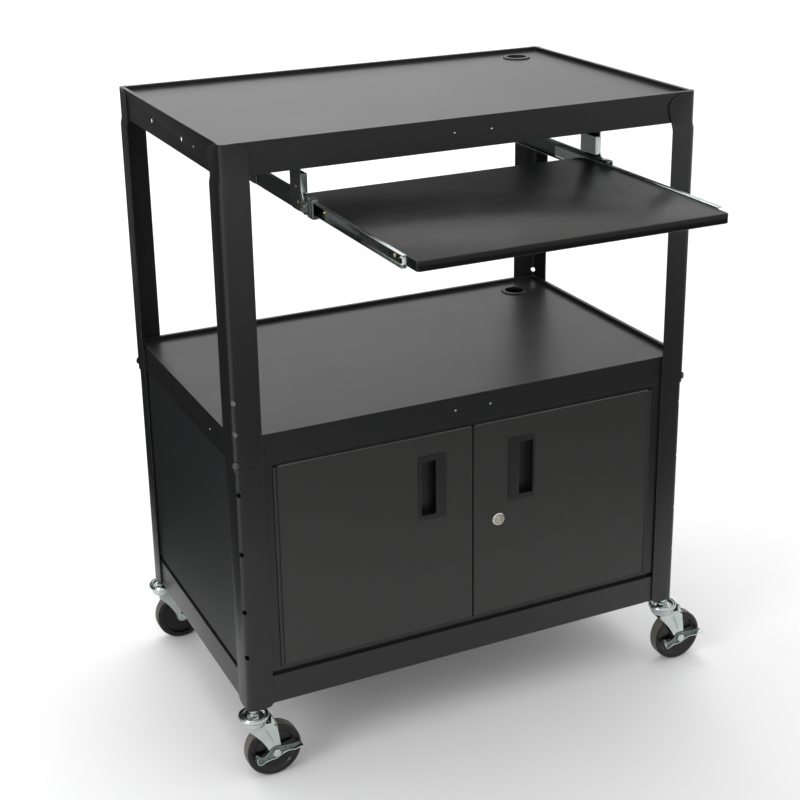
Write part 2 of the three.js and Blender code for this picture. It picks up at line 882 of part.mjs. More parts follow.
// The handle's pocket lies on the hinge side, and runs on behind the flat grip plate.
function handleCup(side) {
  const x = cupCentreX(side);
  const front = doorFace - fit - cupPlate;
  const floor = doorFace + cupDepth;
  const bodyWidth = cupWidth - 2 * cupFlange;
  const bodyHeight = cupHeight - 2 * cupFlange;
  const plateBack = doorFace - fit;
  const plate = alongY(roundedRectangle(cupWidth, cupHeight, cupCorner, x, cupCentreZ), front, plateBack);
  const body = roundedRectangle(bodyWidth, bodyHeight, cupCorner, x, cupCentreZ);
  const box = alongY(body, plateBack - cupPlate / 2, floor + cupWall);
  const hollow = alongY(
    roundedRectangle(bodyWidth - 2 * cupWall, bodyHeight - 2 * cupWall, cupCorner / 2, x, cupCentreZ),
    plateBack + cupPlate,
    floor,
  );
  const gripX = x + side * (cupWidth / 2 - gripEdge - gripWidth / 2);
  const mouth = alongY(
    roundedRectangle(gripWidth, gripHeight, cupCorner, gripX, cupCentreZ),
    front - overrun,
    floor - cupWall,
  );
  return cut(joined([plate, box]), [hollow, mouth]);
}

// Cam lock: a fixed barrel with its bezel and nut, and a turning plug that carries the cam

function lockHousing() {
  const seat = doorFace - fit;
  const nutFront = doorFace + doorSheet + fit;
  const end = doorFace + doorDepth + fit;
  const bore = plugRadius + fit;
  const barrel = turnedAcross([
    [bore, seat - lockBezelHeight],
    [lockBezelRadius - lockBezelChamfer, seat - lockBezelHeight],
    [lockBezelRadius, seat - lockBezelHeight + lockBezelChamfer],
    [lockBezelRadius, seat],
    [lockBarrelRadius - fit, seat],
    [lockBarrelRadius - fit, end],
    [bore, end],
    [bore, seat - lockBezelHeight],
  ]);
  const nutBack = nutFront + lockNutHeight;
  const nut = rod([0, nutFront, 0], [0, nutBack, 0], lockNutRadius, hexSides);
  const throughRadius = lockBarrelRadius - 2 * fit;
  const through = rod([0, nutFront - overrun, 0], [0, nutBack + overrun, 0], throughRadius);
  return barrel.add(cut(nut, [through]));
}

function lockPlug() {
  const front = doorFace - fit - lockBezelHeight + fit;
  const camFront = doorFace + doorDepth + 2 * fit;
  const camBack = camFront + camSheet;
  const plug = turnedAcross([
    [0, front],
    [plugRadius - fit, front],
    [plugRadius - fit, camBack + camSheet],
    [0, camBack + camSheet],
  ]);
  const half = keySlotWidth / 2;
  const slot = block(
    [-half, half],
    [front - overrun, front + keySlotDepth],
    [-keySlotHalf, keySlotHalf],
  );
  const hub = camWidth / 2;
  const tip = -camLength + camTip;
  const outline = [
    ...arc(0, 0, hub, -Math.PI / 2, Math.PI / 2, 2 * cornerSteps),
    ...pointsOf([[tip, camTip], [-camLength, 0], [tip, -camTip]]),
  ];
  return joined([cut(plug, [slot]), alongY(outline, camFront, camBack)]);
}

function lockBore() {
  const from = [lockInset, doorFace - overrun, lockZ];
  const to = [lockInset, doorFace + doorSheet + overrun, lockZ];
  return rod(from, to, lockBarrelRadius, roundSides);
}

function addCabinet(cart) {
  place(cart, 'cabinet_side_left', sidePanel(-1), finishes.powderCoat);
  place(cart, 'cabinet_side_right', sidePanel(1), finishes.powderCoat);
  place(cart, 'cabinet_back', backPanel(), finishes.powderCoat);
  place(cart, 'door_frame', doorFrame(), finishes.powderCoat);
  for (const [name, side] of [['left', -1], ['right', 1]]) {
    const pan = side > 0 ? cut(doorPan(side), [lockBore()]) : doorPan(side);
    place(cart, `door_${name}`, pan, finishes.powderCoat);
    place(cart, `hinge_frame_leaf_${name}`, hingeLeaf(side, true), finishes.powderCoat);
    place(cart, `hinge_door_leaf_${name}`, hingeLeaf(side, false), finishes.powderCoat);
    place(cart, `handle_cup_${name}`, handleCup(side), finishes.blackPlastic);
  }
  const lock = groupAt(cart, lockInset, 0, lockZ);
  place(lock, 'lock_housing', lockHousing(), finishes.nickel);
  place(lock, 'lock_plug', lockPlug(), finishes.nickel);
}

// Keyboard board and slides. A slide's u runs outwards from the board's edge on either side.

function keyboardBoard() {
  const inset = 2 * boardEdge;
  const shape = new THREE.Shape(roundedRectangle(boardWidth - inset, boardDepth - inset, boardCorner));
  const geometry = new THREE.ExtrudeGeometry(shape, {
    depth: boardThickness - inset,
    bevelThickness: boardEdge,
    bevelSize: boardEdge,
    bevelSegments: 1,
  });
  geometry.translate(0, boardFront + boardDepth / 2, boardTop - boardThickness + boardEdge);
  return toSolid(geometry);
}

function slideOutline(side, pairs) {
  return pointsOf(pairs.map(([u, z]) => [side * (boardWidth / 2 + u), z]));
}

// A channel section: web at u = near, flanges out to u = far, open towards far.
function channelSection(side, near, far, height, sheet) {
  const half = height / 2;
  const inner = near + Math.sign(far - near) * sheet;
  return slideOutline(side, [
    [near, -half],
    [far, -half],
    [far, -half + sheet],
    [inner, -half + sheet],
    [inner, half - sheet],
    [far, half - sheet],
    [far, half],
    [near, half],
  ]);
}

function movingRail(side) {
  const outline = channelSection(side, fit, fit + movingRailDepth, movingRailHeight, railSheet);
  return alongY(outline, movingFront, movingFront + railLength);
}

function fixedRail(side) {
  const near = fixedRailWeb;
  const rail = channelSection(side, near, near - fixedRailDepth, fixedRailHeight, fixedRailSheet);
  const body = alongY(rail, fixedFront, fixedFront + railLength);
  const wrapHeight = fixedRailHeight + 2 * clipSheet;
  const wrapFar = near - fixedRailDepth - clipSheet;
  const wrap = channelSection(side, near + clipSheet, wrapFar, wrapHeight, 2 * clipSheet);
  const clip = alongY(wrap, fixedFront, fixedFront + clipLength);
  return joined([body, clip, bracketRivet(side)]);
}

function ballCage(side) {
  const ballHeight = (movingRailHeight + fixedRailHeight) / 4 - fixedRailSheet / 2;
  const half = ballHeight + cageSheet / 2;
  const web = fit + movingRailDepth + cageSheet;
  const open = fixedRailWeb - fixedRailDepth + fit;
  const outline = channelSection(side, web + cageSheet, open, 2 * half, cageSheet);
  const front = fixedFront + cageEndGap;
  const frame = alongY(outline, front, front + cageLength);
  const balls = [];
  for (let index = 0; index < ballCount; index += 1) {
    const y = front + ((index + 1 / 2) * cageLength) / ballCount;
    for (const z of [-ballHeight, ballHeight]) {
      const ball = new THREE.SphereGeometry(ballRadius, pinSides, ballRings);
      ball.translate(side * (boardWidth / 2 + web / 2 + ballRadius), y, z);
      balls.push(toSolid(ball));
    }
  }
  return joined([frame, ...balls]);
}

function bracketRivet(side) {
  const y = -halfDepth + rivetSetback;
  const head = railOuter + fit + bracketSheet + fit;
  const layers = [
    [railOuter - fixedRailSheet / 2, head + bracketSheet / 2, rivetRadius],
    [head, head + bracketSheet, rivetHeadRadius],
  ];
  const across = ([near, far, radius]) => rod([side * near, y, 0], [side * far, y, 0], radius);
  return joined(layers.map(across));
}

// The channel over the rail: its flanges clasp the strap, and a pointed toe runs down to the rivet.
function slideBracket(side) {
  const strapFront = -halfDepth + frontHangerSetback;
  const front = strapFront - fit;
  const back = strapFront + frontHangerWidth + fit;
  const strapInner = railOuter + fit;
  const inner = strapInner - bracketReach;
  const outer = strapInner + bracketSheet;
  const section = pointsOf([
    [outer, front],
    [outer, front - bracketSheet],
    [inner, front - bracketSheet],
    [inner, back + bracketSheet],
    [outer, back + bracketSheet],
    [outer, back],
    [inner + bracketSheet, back],
    [inner + bracketSheet, front],
  ].map(([u, y]) => [side * u, y]));
  const channel = alongZ(section, bracketBottom, bracketTop);
  const rivetY = -halfDepth + rivetSetback;
  const outline = pointsOf([
    [front, -toeBackDrop],
    [front, toeNeck],
    [front - bracketSheet, toeNeck],
    [front - toeRun / 2, toeShoulder],
    [front - toeRun, toeShoulder],
    [front - toeRun, -toeSideDrop],
    [rivetY, -toeDrop],
  ]);
  const hole = circle(rivetY, 0, rivetRadius + fit);
  const across = [side * strapInner, side * outer].sort((a, b) => a - b);
  return channel.add(alongX(outline, ...across, [hole]));
}

// A hanger: a strap outside the fixed rail, with a flange under the top deck.
function hanger(side, front, width) {
  const near = railOuter + fit;
  const drop = hangerTop - railZ + hangerFoot;
  const section = [
    [side * near, -drop],
    [side * near, 0],
    [side * (near + hangerFlange), 0],
  ];
  const outline = foldedSheet(side > 0 ? section : section.reverse(), hangerSheet);
  const strap = alongY(outline, front, front + width);
  const top = overrun;
  const low = -drop + hangerToe;
  const quarter = Math.PI / 2;
  const profile = [
    ...pointsOf([[front + width, top], [front, top]]),
    ...arc(front + hangerToe, low, hangerToe, 2 * quarter, 3 * quarter, cornerSteps),
    ...arc(front + width - hangerToe, low, hangerToe, 3 * quarter, 4 * quarter, cornerSteps),
  ];
  const reach = near + hangerFlange + overrun;
  const middle = front + width / 2;
  const holes = hangerHoleShares.map((share) => circle(middle, -drop * share, hangerHoleRadius));
  return strap.intersect(alongX(profile, -reach, reach, holes));
}

function addKeyboard(cart) {
  place(cart, 'keyboard_board', keyboardBoard(), finishes.laminate);
  const rails = groupAt(cart, 0, 0, railZ);
  const straps = groupAt(cart, 0, 0, hangerTop);
  const frontHanger = [-halfDepth + frontHangerSetback, frontHangerWidth];
  const rearHanger = [-halfDepth + rearHangerSetback, rearHangerWidth];
  for (const [name, side] of [['left', -1], ['right', 1]]) {
    place(rails, `slide_moving_rail_${name}`, movingRail(side), finishes.zinc);
    place(rails, `slide_fixed_rail_${name}`, fixedRail(side), finishes.zinc);
    place(rails, `slide_ball_cage_${name}`, ballCage(side), finishes.zinc);
    place(rails, `slide_bracket_${name}`, slideBracket(side), finishes.zinc);
    place(straps, `hanger_front_${name}`, hanger(side, ...frontHanger), finishes.zinc);
    place(straps, `hanger_rear_${name}`, hanger(side, ...rearHanger), finishes.zinc);
  }
}

// Casters, each drawn about its swivel axis with the wheel trailing towards +X

function casterMount() {
  const raceTop = crownTop + raceRise;
  const floor = crownTop + 2 * fit;
  const gussetBottom = footHeight + gussetRaise;
  const gussetTop = gussetBottom + gussetSheet;
  const nutTop = gussetTop + fit + stemNutHeight;
  const race = turnedUp([
    [0, floor],
    [raceRadius - raceStep, floor],
    [raceRadius, floor + bowlFlare],
    [raceRadius, raceTop - raceStep],
    [raceRadius - raceStep, raceTop],
    [recessRadius + raceStep, raceTop],
    [recessRadius, raceTop - raceStep],
    [collarRadius, raceTop - raceStep],
    [collarRadius, gussetBottom - fit],
    [stemRadius, gussetBottom - fit],
    [stemRadius, nutTop + stemTail],
    [0, nutTop + stemTail],
  ]);
  const jamBottom = raceTop - raceStep - fit;
  const jamNut = rod([0, 0, jamBottom], [0, 0, jamBottom + jamNutHeight], jamNutRadius, hexSides);
  const stemNut = rod([0, 0, gussetTop + fit], [0, 0, nutTop], stemNutRadius, hexSides);
  return joined([race, jamNut, stemNut]);
}

// One cheek of the fork, seen from the front: it sweeps down from the crown to the axle's eye.
function forkCheek() {
  const eyeLeft = casterTrail - eyeRadius;
  const pull = [eyeLeft - cheekPull, axleHeight + cheekPullRise];
  return [
    ...pointsOf([
      [cheekTail, crownTop],
      [shoulderReach, crownTop + shoulderRise],
      [shoulderReach - forkSheet, crownTop + shoulderRise],
      [shoulderReach - forkSheet, crownTop],
      [-cheekNose, crownTop],
    ]),
    ...curve([-cheekNose, crownBottom], pull, [eyeLeft, axleHeight], cheekSteps),
    ...arc(casterTrail, axleHeight, eyeRadius, Math.PI, 2 * Math.PI, 2 * cornerSteps).slice(1),
  ];
}

// The fork's crown is a flared bowl round the race, with a sloping shoulder behind it.
function forkCrown() {
  const disc = alongZ(circle(0, 0, crownRadius, roundSides), crownBottom, crownTop);
  const rim = bowlRadius - bowlSheet;
  const root = raceRadius + 2 * fit;
  const bowl = turnedUp([
    [root, crownBottom + crownSheet / 2],
    [crownRadius, crownBottom + crownSheet / 2],
    [bowlRadius, crownTop + bowlFlare],
    [bowlRadius, bowlTop],
    [rim, bowlTop],
    [rim, crownTop + bowlFlare],
    [root, crownTop],
    [root, crownBottom + crownSheet / 2],
  ]);
  const bridge = block([0, cheekTail], [-forkOuter, forkOuter], [crownBottom, crownTop]);
  const slope = foldedSheet([
    [shoulderReach, crownTop + shoulderRise],
    [cheekTail, crownBottom],
  ], forkSheet);
  const shoulder = alongY(slope, -forkOuter, forkOuter);
  return [disc, bowl, bridge, shoulder];
}

function fork(braked) {
  const cheek = forkCheek();
  const cheeks = [-1, 1].map((side) => {
    const y = [side * forkInner, side * forkOuter].sort((a, b) => a - b);
    return alongY(cheek, ...y);
  });
  const frontFace = forkOuter + (braked ? brakeSheet + 2 * fit : 0);
  const at = (y) => [casterTrail, y, axleHeight];
  const axle = [
    rod(at(-frontFace - axleHeadHeight / 2), at(forkOuter), axleRadius),
    rod(at(-frontFace - axleHeadHeight), at(-frontFace), axleHeadRadius, hexSides),
    rod(at(forkOuter - forkSheet / 2), at(forkOuter + axleHeadHeight), axleHeadRadius, boreSides),
  ];
  return joined([...forkCrown(), ...cheeks, ...axle]);
}

function wheel() {
  const half = wheelWidth / 2;
  const side = half + hubOverhang;
  const web = half - webInset;
  const bore = axleRadius + axleFit;
  const faceRadius = wheelRadius - treadRound;
  const halfProfile = [
    [bore, -side],
    [hubRadius, -side],
    [hubRadius, -web],
    [rimInner, -web],
    [rimInner + webInset, -half],
    [faceRadius, -half],
    [wheelRadius, -half + treadRound],
  ];
  const mirrored = halfProfile.map(([radius, y]) => [radius, -y]).reverse();
  return turnedAcross([...halfProfile, ...mirrored, halfProfile[0]], wheelSides);
}

// A rocker brake about its own pivot: a pressed plate with foot lips turned out along both arms.
function brakeLever() {
  const sized = (shares) => shares.map(([x, z]) => [x * brakeReach, z * brakeReach]);
  const [toe, belly, pad] = [brakeToeShares, brakeBellyShares, brakePadShares].map(sized);
  const upper = sized([...brakeRightShares, ...brakeLeftShares]);
  const outline = pointsOf([...toe, ...belly, ...pad, ...upper]);
  const back = -forkOuter - fit;
  const plate = alongY(outline, back - brakeSheet, back, [circle(0, 0, brakeBore)]);
  const lips = [toe, pad].map((path) => {
    const strip = foldedSheet([...path].reverse(), brakeLipSheet);
    return alongY(strip, back - brakeSheet - brakeLip, back);
  });
  return joined([plate, ...lips]);
}

function addCasters(cart) {
  const corners = [
    ['front_left', -1, -1],
    ['front_right', 1, -1],
    ['back_left', -1, 1],
    ['back_right', 1, 1],
  ];
  for (const [name, sx, sy] of corners) {
    const caster = groupAt(cart, sx * swivelX, sy * swivelY, 0);
    const braked = sy < 0;
    place(caster, `caster_mount_${name}`, casterMount(), finishes.zinc);
    place(caster, `caster_fork_${name}`, fork(braked), finishes.zinc);
    const axle = groupAt(caster, casterTrail, 0, axleHeight);
    place(axle, `wheel_${name}`, wheel(), finishes.wheelRubber);
    if (braked) place(axle, `brake_lever_${name}`, brakeLever(), finishes.zinc);
  }
}

function addTrays(cart) {
  const trays = [
    ['base', baseRim, {}],
    ['middle', middleRim, { cableHole: true, sideHoles: true, boltHoles: true }],
    ['top', topRim, { cableHole: true, sideHoles: true }],
  ];
  for (const [name, rim, holes] of trays) {
    const group = groupAt(cart, 0, 0, rim);
    place(group, `${name}_tray`, tray(holes), finishes.powderCoat);
    if (holes.cableHole) {
      const x = halfWidth - cableHoleInsetX;
      const y = halfDepth - cableHoleInsetY;
      place(groupAt(group, x, y, -lipHeight), `cable_grommet_${name}`, grommet(), finishes.blackPlastic);
    }
  }
}

// The whole cart, moved so that its box stands on the origin

const cart = new THREE.Group();
addTrays(cart);
addLegs(cart);
addCabinet(cart);
addKeyboard(cart);
addCasters(cart);

const extent = new THREE.Box3().setFromObject(cart, true);
const centre = extent.getCenter(new THREE.Vector3());
cart.position.set(-centre.x, -centre.y, -extent.min.z);
cart.updateMatrixWorld(true);

export default cart;
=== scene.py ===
"""The looks of the audio visual cart.

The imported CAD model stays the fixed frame. Each class below dresses one sub-assembly: it restyles
the frame's own pieces where their shape is right, and where the real cart has finer forms it works
them out with numpy as points on a grid and lets them stand for the frame's piece. All lengths are
in metres, in the frame's own axes: +Z up, the doors towards -Y.
"""

from __future__ import annotations

import json
import logging
import math
from dataclasses import dataclass, field
from enum import Enum

import bmesh
import bpy
import numpy as np
from mathutils import Matrix, Vector

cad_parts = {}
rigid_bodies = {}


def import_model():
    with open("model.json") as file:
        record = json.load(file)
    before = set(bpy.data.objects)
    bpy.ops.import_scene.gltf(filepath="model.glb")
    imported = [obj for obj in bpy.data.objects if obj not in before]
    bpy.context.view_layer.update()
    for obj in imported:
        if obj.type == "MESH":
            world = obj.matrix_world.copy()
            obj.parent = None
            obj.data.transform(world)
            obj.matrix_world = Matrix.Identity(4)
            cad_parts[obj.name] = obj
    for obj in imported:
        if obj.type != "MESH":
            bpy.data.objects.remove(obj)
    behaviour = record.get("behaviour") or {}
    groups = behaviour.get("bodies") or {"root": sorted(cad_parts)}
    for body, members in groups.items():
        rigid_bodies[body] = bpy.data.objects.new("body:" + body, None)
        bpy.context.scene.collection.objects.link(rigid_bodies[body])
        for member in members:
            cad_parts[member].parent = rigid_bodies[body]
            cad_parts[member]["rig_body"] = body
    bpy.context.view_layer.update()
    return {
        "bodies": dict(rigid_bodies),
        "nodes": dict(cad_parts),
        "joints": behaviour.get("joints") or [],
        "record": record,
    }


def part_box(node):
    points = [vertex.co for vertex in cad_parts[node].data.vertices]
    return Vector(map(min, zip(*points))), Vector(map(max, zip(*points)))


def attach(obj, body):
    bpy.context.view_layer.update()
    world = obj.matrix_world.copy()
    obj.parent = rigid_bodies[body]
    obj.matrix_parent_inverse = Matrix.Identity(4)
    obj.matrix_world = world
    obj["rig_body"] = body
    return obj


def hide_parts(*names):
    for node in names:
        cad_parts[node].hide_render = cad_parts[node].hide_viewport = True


LOG = logging.getLogger("cart_looks")
MM = 0.001

Colour = tuple[float, float, float, float]
Line = list[tuple[float, float]]
Faces = list[tuple[int, ...]]
Socket = bpy.types.NodeSocket


class Named(Enum):
    """A choice that is part of the names of the frame's nodes."""

    @property
    def word(self) -> str:
        """The choice as the frame's nodes spell it."""
        return self.name.lower()


class Side(Named):
    """The left or the right half of the cart, seen from the front, with its sign along X."""

    LEFT = -1
    RIGHT = 1


class Corner(Named):
    """The four corners, each with its sign along X and along Y."""

    FRONT_LEFT = (-1, -1)
    FRONT_RIGHT = (1, -1)
    BACK_LEFT = (-1, 1)
    BACK_RIGHT = (1, 1)

    @property
    def is_front(self) -> bool:
        """Whether the corner is on the doors' side."""
        return self.value[1] < 0


class Slot(Enum):
    """The record's material slots."""

    POWDER = "powder_coat"
    LAMINATE = "laminate"
    PLASTIC = "black_plastic"
    ZINC = "zinc"
    OXIDE = "black_oxide"
    RUBBER = "wheel_rubber"
    NICKEL = "nickel"


class Axis(Enum):
    """The direction that a turned or cut shape's own w axis takes, after those of u and v."""

    X = ((0, 1, 0), (0, 0, 1), (1, 0, 0))
    Y = ((1, 0, 0), (0, 0, 1), (0, -1, 0))


def linked(name: str, data: bpy.types.ID) -> bpy.types.Object:
    """A new object of the scene that shows the data."""
    obj = bpy.data.objects.new(name, data)
    bpy.context.scene.collection.objects.link(obj)
    return obj


# Surfaces


@dataclass
class Skin:
    """Points and polygons of one surface, before it becomes a mesh."""

    points: np.ndarray = field(default_factory=lambda: np.zeros((0, 3)))
    faces: Faces = field(default_factory=list)

    def __add__(self, other: Skin) -> Skin:
        """Both surfaces as one, with the second one's corners counted on from the first."""
        start = len(self.points)
        moved = [tuple(i + start for i in face) for face in other.faces]
        return Skin(np.vstack([self.points, other.points]), self.faces + moved)

    def at(self, x: float, y: float, z: float) -> Skin:
        """The surface moved by x, y and z."""
        return Skin(self.points + np.array([x, y, z]), self.faces)

    def turned(self, axis: Axis) -> Skin:
        """The surface with its own u, v and w laid along the axis's three directions."""
        return Skin(self.points @ np.array(axis.value, float), self.faces)

    def on(self, side: Side) -> Skin:
        """The surface as it is on the right, or its mirror image with its faces turned back."""
        if side is Side.RIGHT:
            return self
        flipped = self.points * np.array([-1.0, 1.0, 1.0])
        return Skin(flipped, [tuple(reversed(face)) for face in self.faces])


def in_mm(points: Line) -> Line:
    """Points that are written in millimetres, in metres."""
    return [(a * MM, b * MM) for a, b in points]


def grid_faces(rows: int, columns: int, closed: bool) -> Faces:
    """Quads between the points of a grid that is stored row by row.

    Args:
        rows: How many rows of points there are.
        columns: How many points a row has.
        closed: Whether each row's last point joins its first.

    Returns:
        One tuple of four indices for each quad: (r, c), (r, c+1), (r+1, c+1), (r+1, c).
    """
    last = columns if closed else columns - 1
    row, column = np.meshgrid(np.arange(rows - 1), np.arange(last), indexing="ij")
    here = row * columns + column
    beside = row * columns + (column + 1) % columns
    quads = np.stack([here, beside, beside + columns, here + columns], axis=-1)
    return [tuple(int(i) for i in quad) for quad in quads.reshape(-1, 4)]


def revolved(profile: Line, steps: int) -> Skin:
    """A profile turned about w: each point is (r cos t, r sin t, h).

    Args:
        profile: Radius and height of each point, from the bottom of the outside to its top.
        steps: How many points a full turn has.

    Returns:
        The surface, closed where the profile ends on the axis or on its own first point.
    """
    radius, height = np.array(profile, float).T[:, :, None]
    turn = np.arange(steps) * (2 * math.pi / steps)
    rounds = [radius * np.cos(turn), radius * np.sin(turn), height + 0.0 * turn]
    points = np.stack(rounds, axis=-1).reshape(-1, 3)
    return Skin(points, grid_faces(len(profile), steps, True))


def rounded(profile: Line, radius: float, steps: int) -> Line:
    """A profile with its inner corners rounded.

    Each corner p becomes the quadratic curve from p - a to p + b, pulled towards p, where a and b
    are the last and next run cut to the radius or to half the run, whichever is less.

    Args:
        profile: The profile's points.
        radius: How far from the corner the rounding starts.
        steps: How many steps a rounded corner has.

    Returns:
        The longer list of points.
    """
    points = [np.array(p, float) for p in profile]
    made = [points[0]]
    share = np.linspace(0, 1, steps + 1)[:, None]
    for before, corner, after in zip(points, points[1:], points[2:]):
        back, ahead = before - corner, after - corner
        near = corner + back * min(0.5, radius / max(np.linalg.norm(back), 1e-9))
        far = corner + ahead * min(0.5, radius / max(np.linalg.norm(ahead), 1e-9))
        made.extend((1 - share) ** 2 * near + 2 * share * (1 - share) * corner + share**2 * far)
    made.append(points[-1])
    return [(float(a), float(b)) for a, b in made]


def ring(radius: float, steps: int) -> np.ndarray:
    """Points round a circle: (r cos t, r sin t)."""
    turn = np.arange(steps) * (2 * math.pi / steps)
    return np.stack([radius * np.cos(turn), radius * np.sin(turn)], axis=-1)


def plate(
    outline: np.ndarray, thickness: float, edge: float, hole: np.ndarray | None = None
) -> Skin:
    """A flat plate with rounded edges and perhaps a hole, lying in u and v with w from 0 up.

    A filled flat curve carries the outline and the hole. Its edge runs along a half circle of
    the edge's radius, and it is drawn in by that radius, so the plate keeps its outer size.

    Args:
        outline: The points round the plate.
        thickness: Its full thickness.
        edge: The radius that rounds its edges.
        hole: The points round its hole.

    Returns:
        The plate's surface.
    """
    curve = bpy.data.curves.new("plate_outline", "CURVE")
    curve.dimensions = "2D"
    curve.fill_mode = "BOTH"
    curve.extrude = max(thickness / 2 - edge, 0.0)
    curve.bevel_depth = edge
    curve.bevel_resolution = 2
    curve.offset = -edge
    for loop in (outline,) if hole is None else (outline, hole):
        spline = curve.splines.new("POLY")
        spline.points.add(len(loop) - 1)
        flat = np.zeros((len(loop), 4), np.float32)
        flat[:, :2] = loop
        flat[:, 3] = 1.0
        spline.points.foreach_set("co", flat.ravel())
        spline.use_cyclic_u = True
    holder = bpy.data.objects.new("plate_outline", curve)
    mesh = bpy.data.meshes.new_from_object(holder)
    points = np.zeros(len(mesh.vertices) * 3)
    mesh.vertices.foreach_get("co", points)
    faces = [tuple(polygon.vertices) for polygon in mesh.polygons]
    bpy.data.objects.remove(holder)
    bpy.data.meshes.remove(mesh)
    bpy.data.curves.remove(curve)
    return Skin(points.reshape(-1, 3), faces).at(0, 0, thickness / 2)


def smoothed(points: np.ndarray, rounds: int = 2, closed: bool = True) -> np.ndarray:
    """A line with softer corners.

    Each round puts two points on every run, a quarter and three quarters of the way along it, in
    place of the run's ends; an open line keeps its first and last points.

    Args:
        points: The line's points.
        rounds: How often the corners are cut.
        closed: Whether the last point joins the first.

    Returns:
        The longer, softer line.
    """
    line = np.array(points, float)
    for _ in range(rounds):
        ahead = np.roll(line, -1, axis=0) if closed else line[1:]
        here = line if closed else line[:-1]
        both = np.stack([0.75 * here + 0.25 * ahead, 0.25 * here + 0.75 * ahead], axis=1)
        cut = both.reshape(-1, 2)
        line = cut if closed else np.vstack([line[:1], cut[1:-1], line[-1:]])
    return line


def sheet_outline(path: np.ndarray, sheet: float) -> np.ndarray:
    """The closed outline of a thin sheet that follows an open path and lies to its right.

    Each point's mate is the point moved along the mean of its two runs' right-hand normals, made
    longer by one over the cosine of half the bend, so the sheet keeps its thickness.

    Args:
        path: The points of one face.
        sheet: The sheet's thickness.

    Returns:
        The path, and the other face's points from its end back to its start.
    """
    runs = np.diff(path, axis=0)
    runs /= np.linalg.norm(runs, axis=1)[:, None]
    normals = np.stack([runs[:, 1], -runs[:, 0]], axis=-1)
    before = np.vstack([normals[:1], normals])
    after = np.vstack([normals, normals[-1:]])
    share = 1.0 + np.sum(before * after, axis=1)
    mate = path + (before + after) * (sheet / share)[:, None]
    return np.vstack([path, mate[::-1]])


def lofted(sections: np.ndarray) -> Skin:
    """A closed skin through closed sections, with a fan of faces over each end.

    Args:
        sections: An array of sections by points by three, all with the same number of points.

    Returns:
        The surface: a grid of quads, and two caps round the end sections' own middles.
    """
    rows, columns, _ = sections.shape
    middles = [sections[0].mean(axis=0), sections[-1].mean(axis=0)]
    points = np.vstack([sections.reshape(-1, 3), *middles])
    start = (rows - 1) * columns
    faces = grid_faces(rows, columns, True)
    faces += [((c + 1) % columns, c, rows * columns) for c in range(columns)]
    faces += [(start + c, start + (c + 1) % columns, rows * columns + 1) for c in range(columns)]
    return Skin(points, faces)


def lip_along(path: np.ndarray, sheet: float, depths: np.ndarray) -> Skin:
    """A thin sheet that stands on a path and rises by a different depth at each of its points.

    Args:
        path: The points of one face, as a line in u and v.
        sheet: The sheet's thickness, to the path's right.
        depths: How high it stands over w = 0 at each point.

    Returns:
        The sheet, closed at both ends.
    """
    outline = sheet_outline(path, sheet)
    near, far = outline[: len(path)], outline[len(path) :][::-1]
    up = depths[:, None]
    low = np.zeros_like(up)
    order = ((near, low), (far, low), (far, up), (near, up))
    corners = [np.hstack([face, level]) for face, level in order]
    return lofted(np.stack(corners, axis=1))


def screw_head(radius: float, height: float) -> Skin:
    """A pan head with a cross recess, on w = 0.

    On a polar grid the height is h (1 - 0.9 (r/R)^4), less a recess of 0.6 h where the point is
    near either arm of the cross: exp(-(min(|u|, |v|) / 0.13 R)^4) times exp(-(r / 0.62 R)^8).

    Args:
        radius: The head's radius.
        height: The head's height.

    Returns:
        The head's surface, with a flat underside.
    """
    rings, steps = 17, 48
    fall, sink, arm_width, arm_reach = 0.9, 0.6, 0.13 * radius, 0.62 * radius
    share = np.linspace(0.0, 1.0, rings)[:, None]
    turn = np.arange(steps) * (2 * math.pi / steps)
    r = share * radius
    u, v = r * np.cos(turn), r * np.sin(turn)
    arm = np.exp(-((np.minimum(np.abs(u), np.abs(v)) / arm_width) ** 4))
    recess = sink * height * arm * np.exp(-((r / arm_reach) ** 8))
    top = np.stack([u, v, height * (1.0 - fall * share**4) - recess], axis=-1)
    skirt = np.stack([u[-1], v[-1], np.zeros(steps)], axis=-1)[None]
    return lofted(np.concatenate([skirt, top[::-1]], axis=0))


def welded(skin: Skin) -> Skin:
    """The surface with points that lie on each other joined, and what collapses dropped."""
    keys = np.round(skin.points / 1e-6).astype(np.int64)
    _, first, inverse = np.unique(keys, axis=0, return_index=True, return_inverse=True)
    inverse = inverse.reshape(-1)
    kept: Faces = []
    for face in skin.faces:
        corners = [int(inverse[i]) for i in face]
        once = [c for i, c in enumerate(corners) if c != corners[i - 1]]
        if len(set(once)) > 2:
            kept.append(tuple(once))
    return Skin(skin.points[first], kept)


# Shader groups and finishes


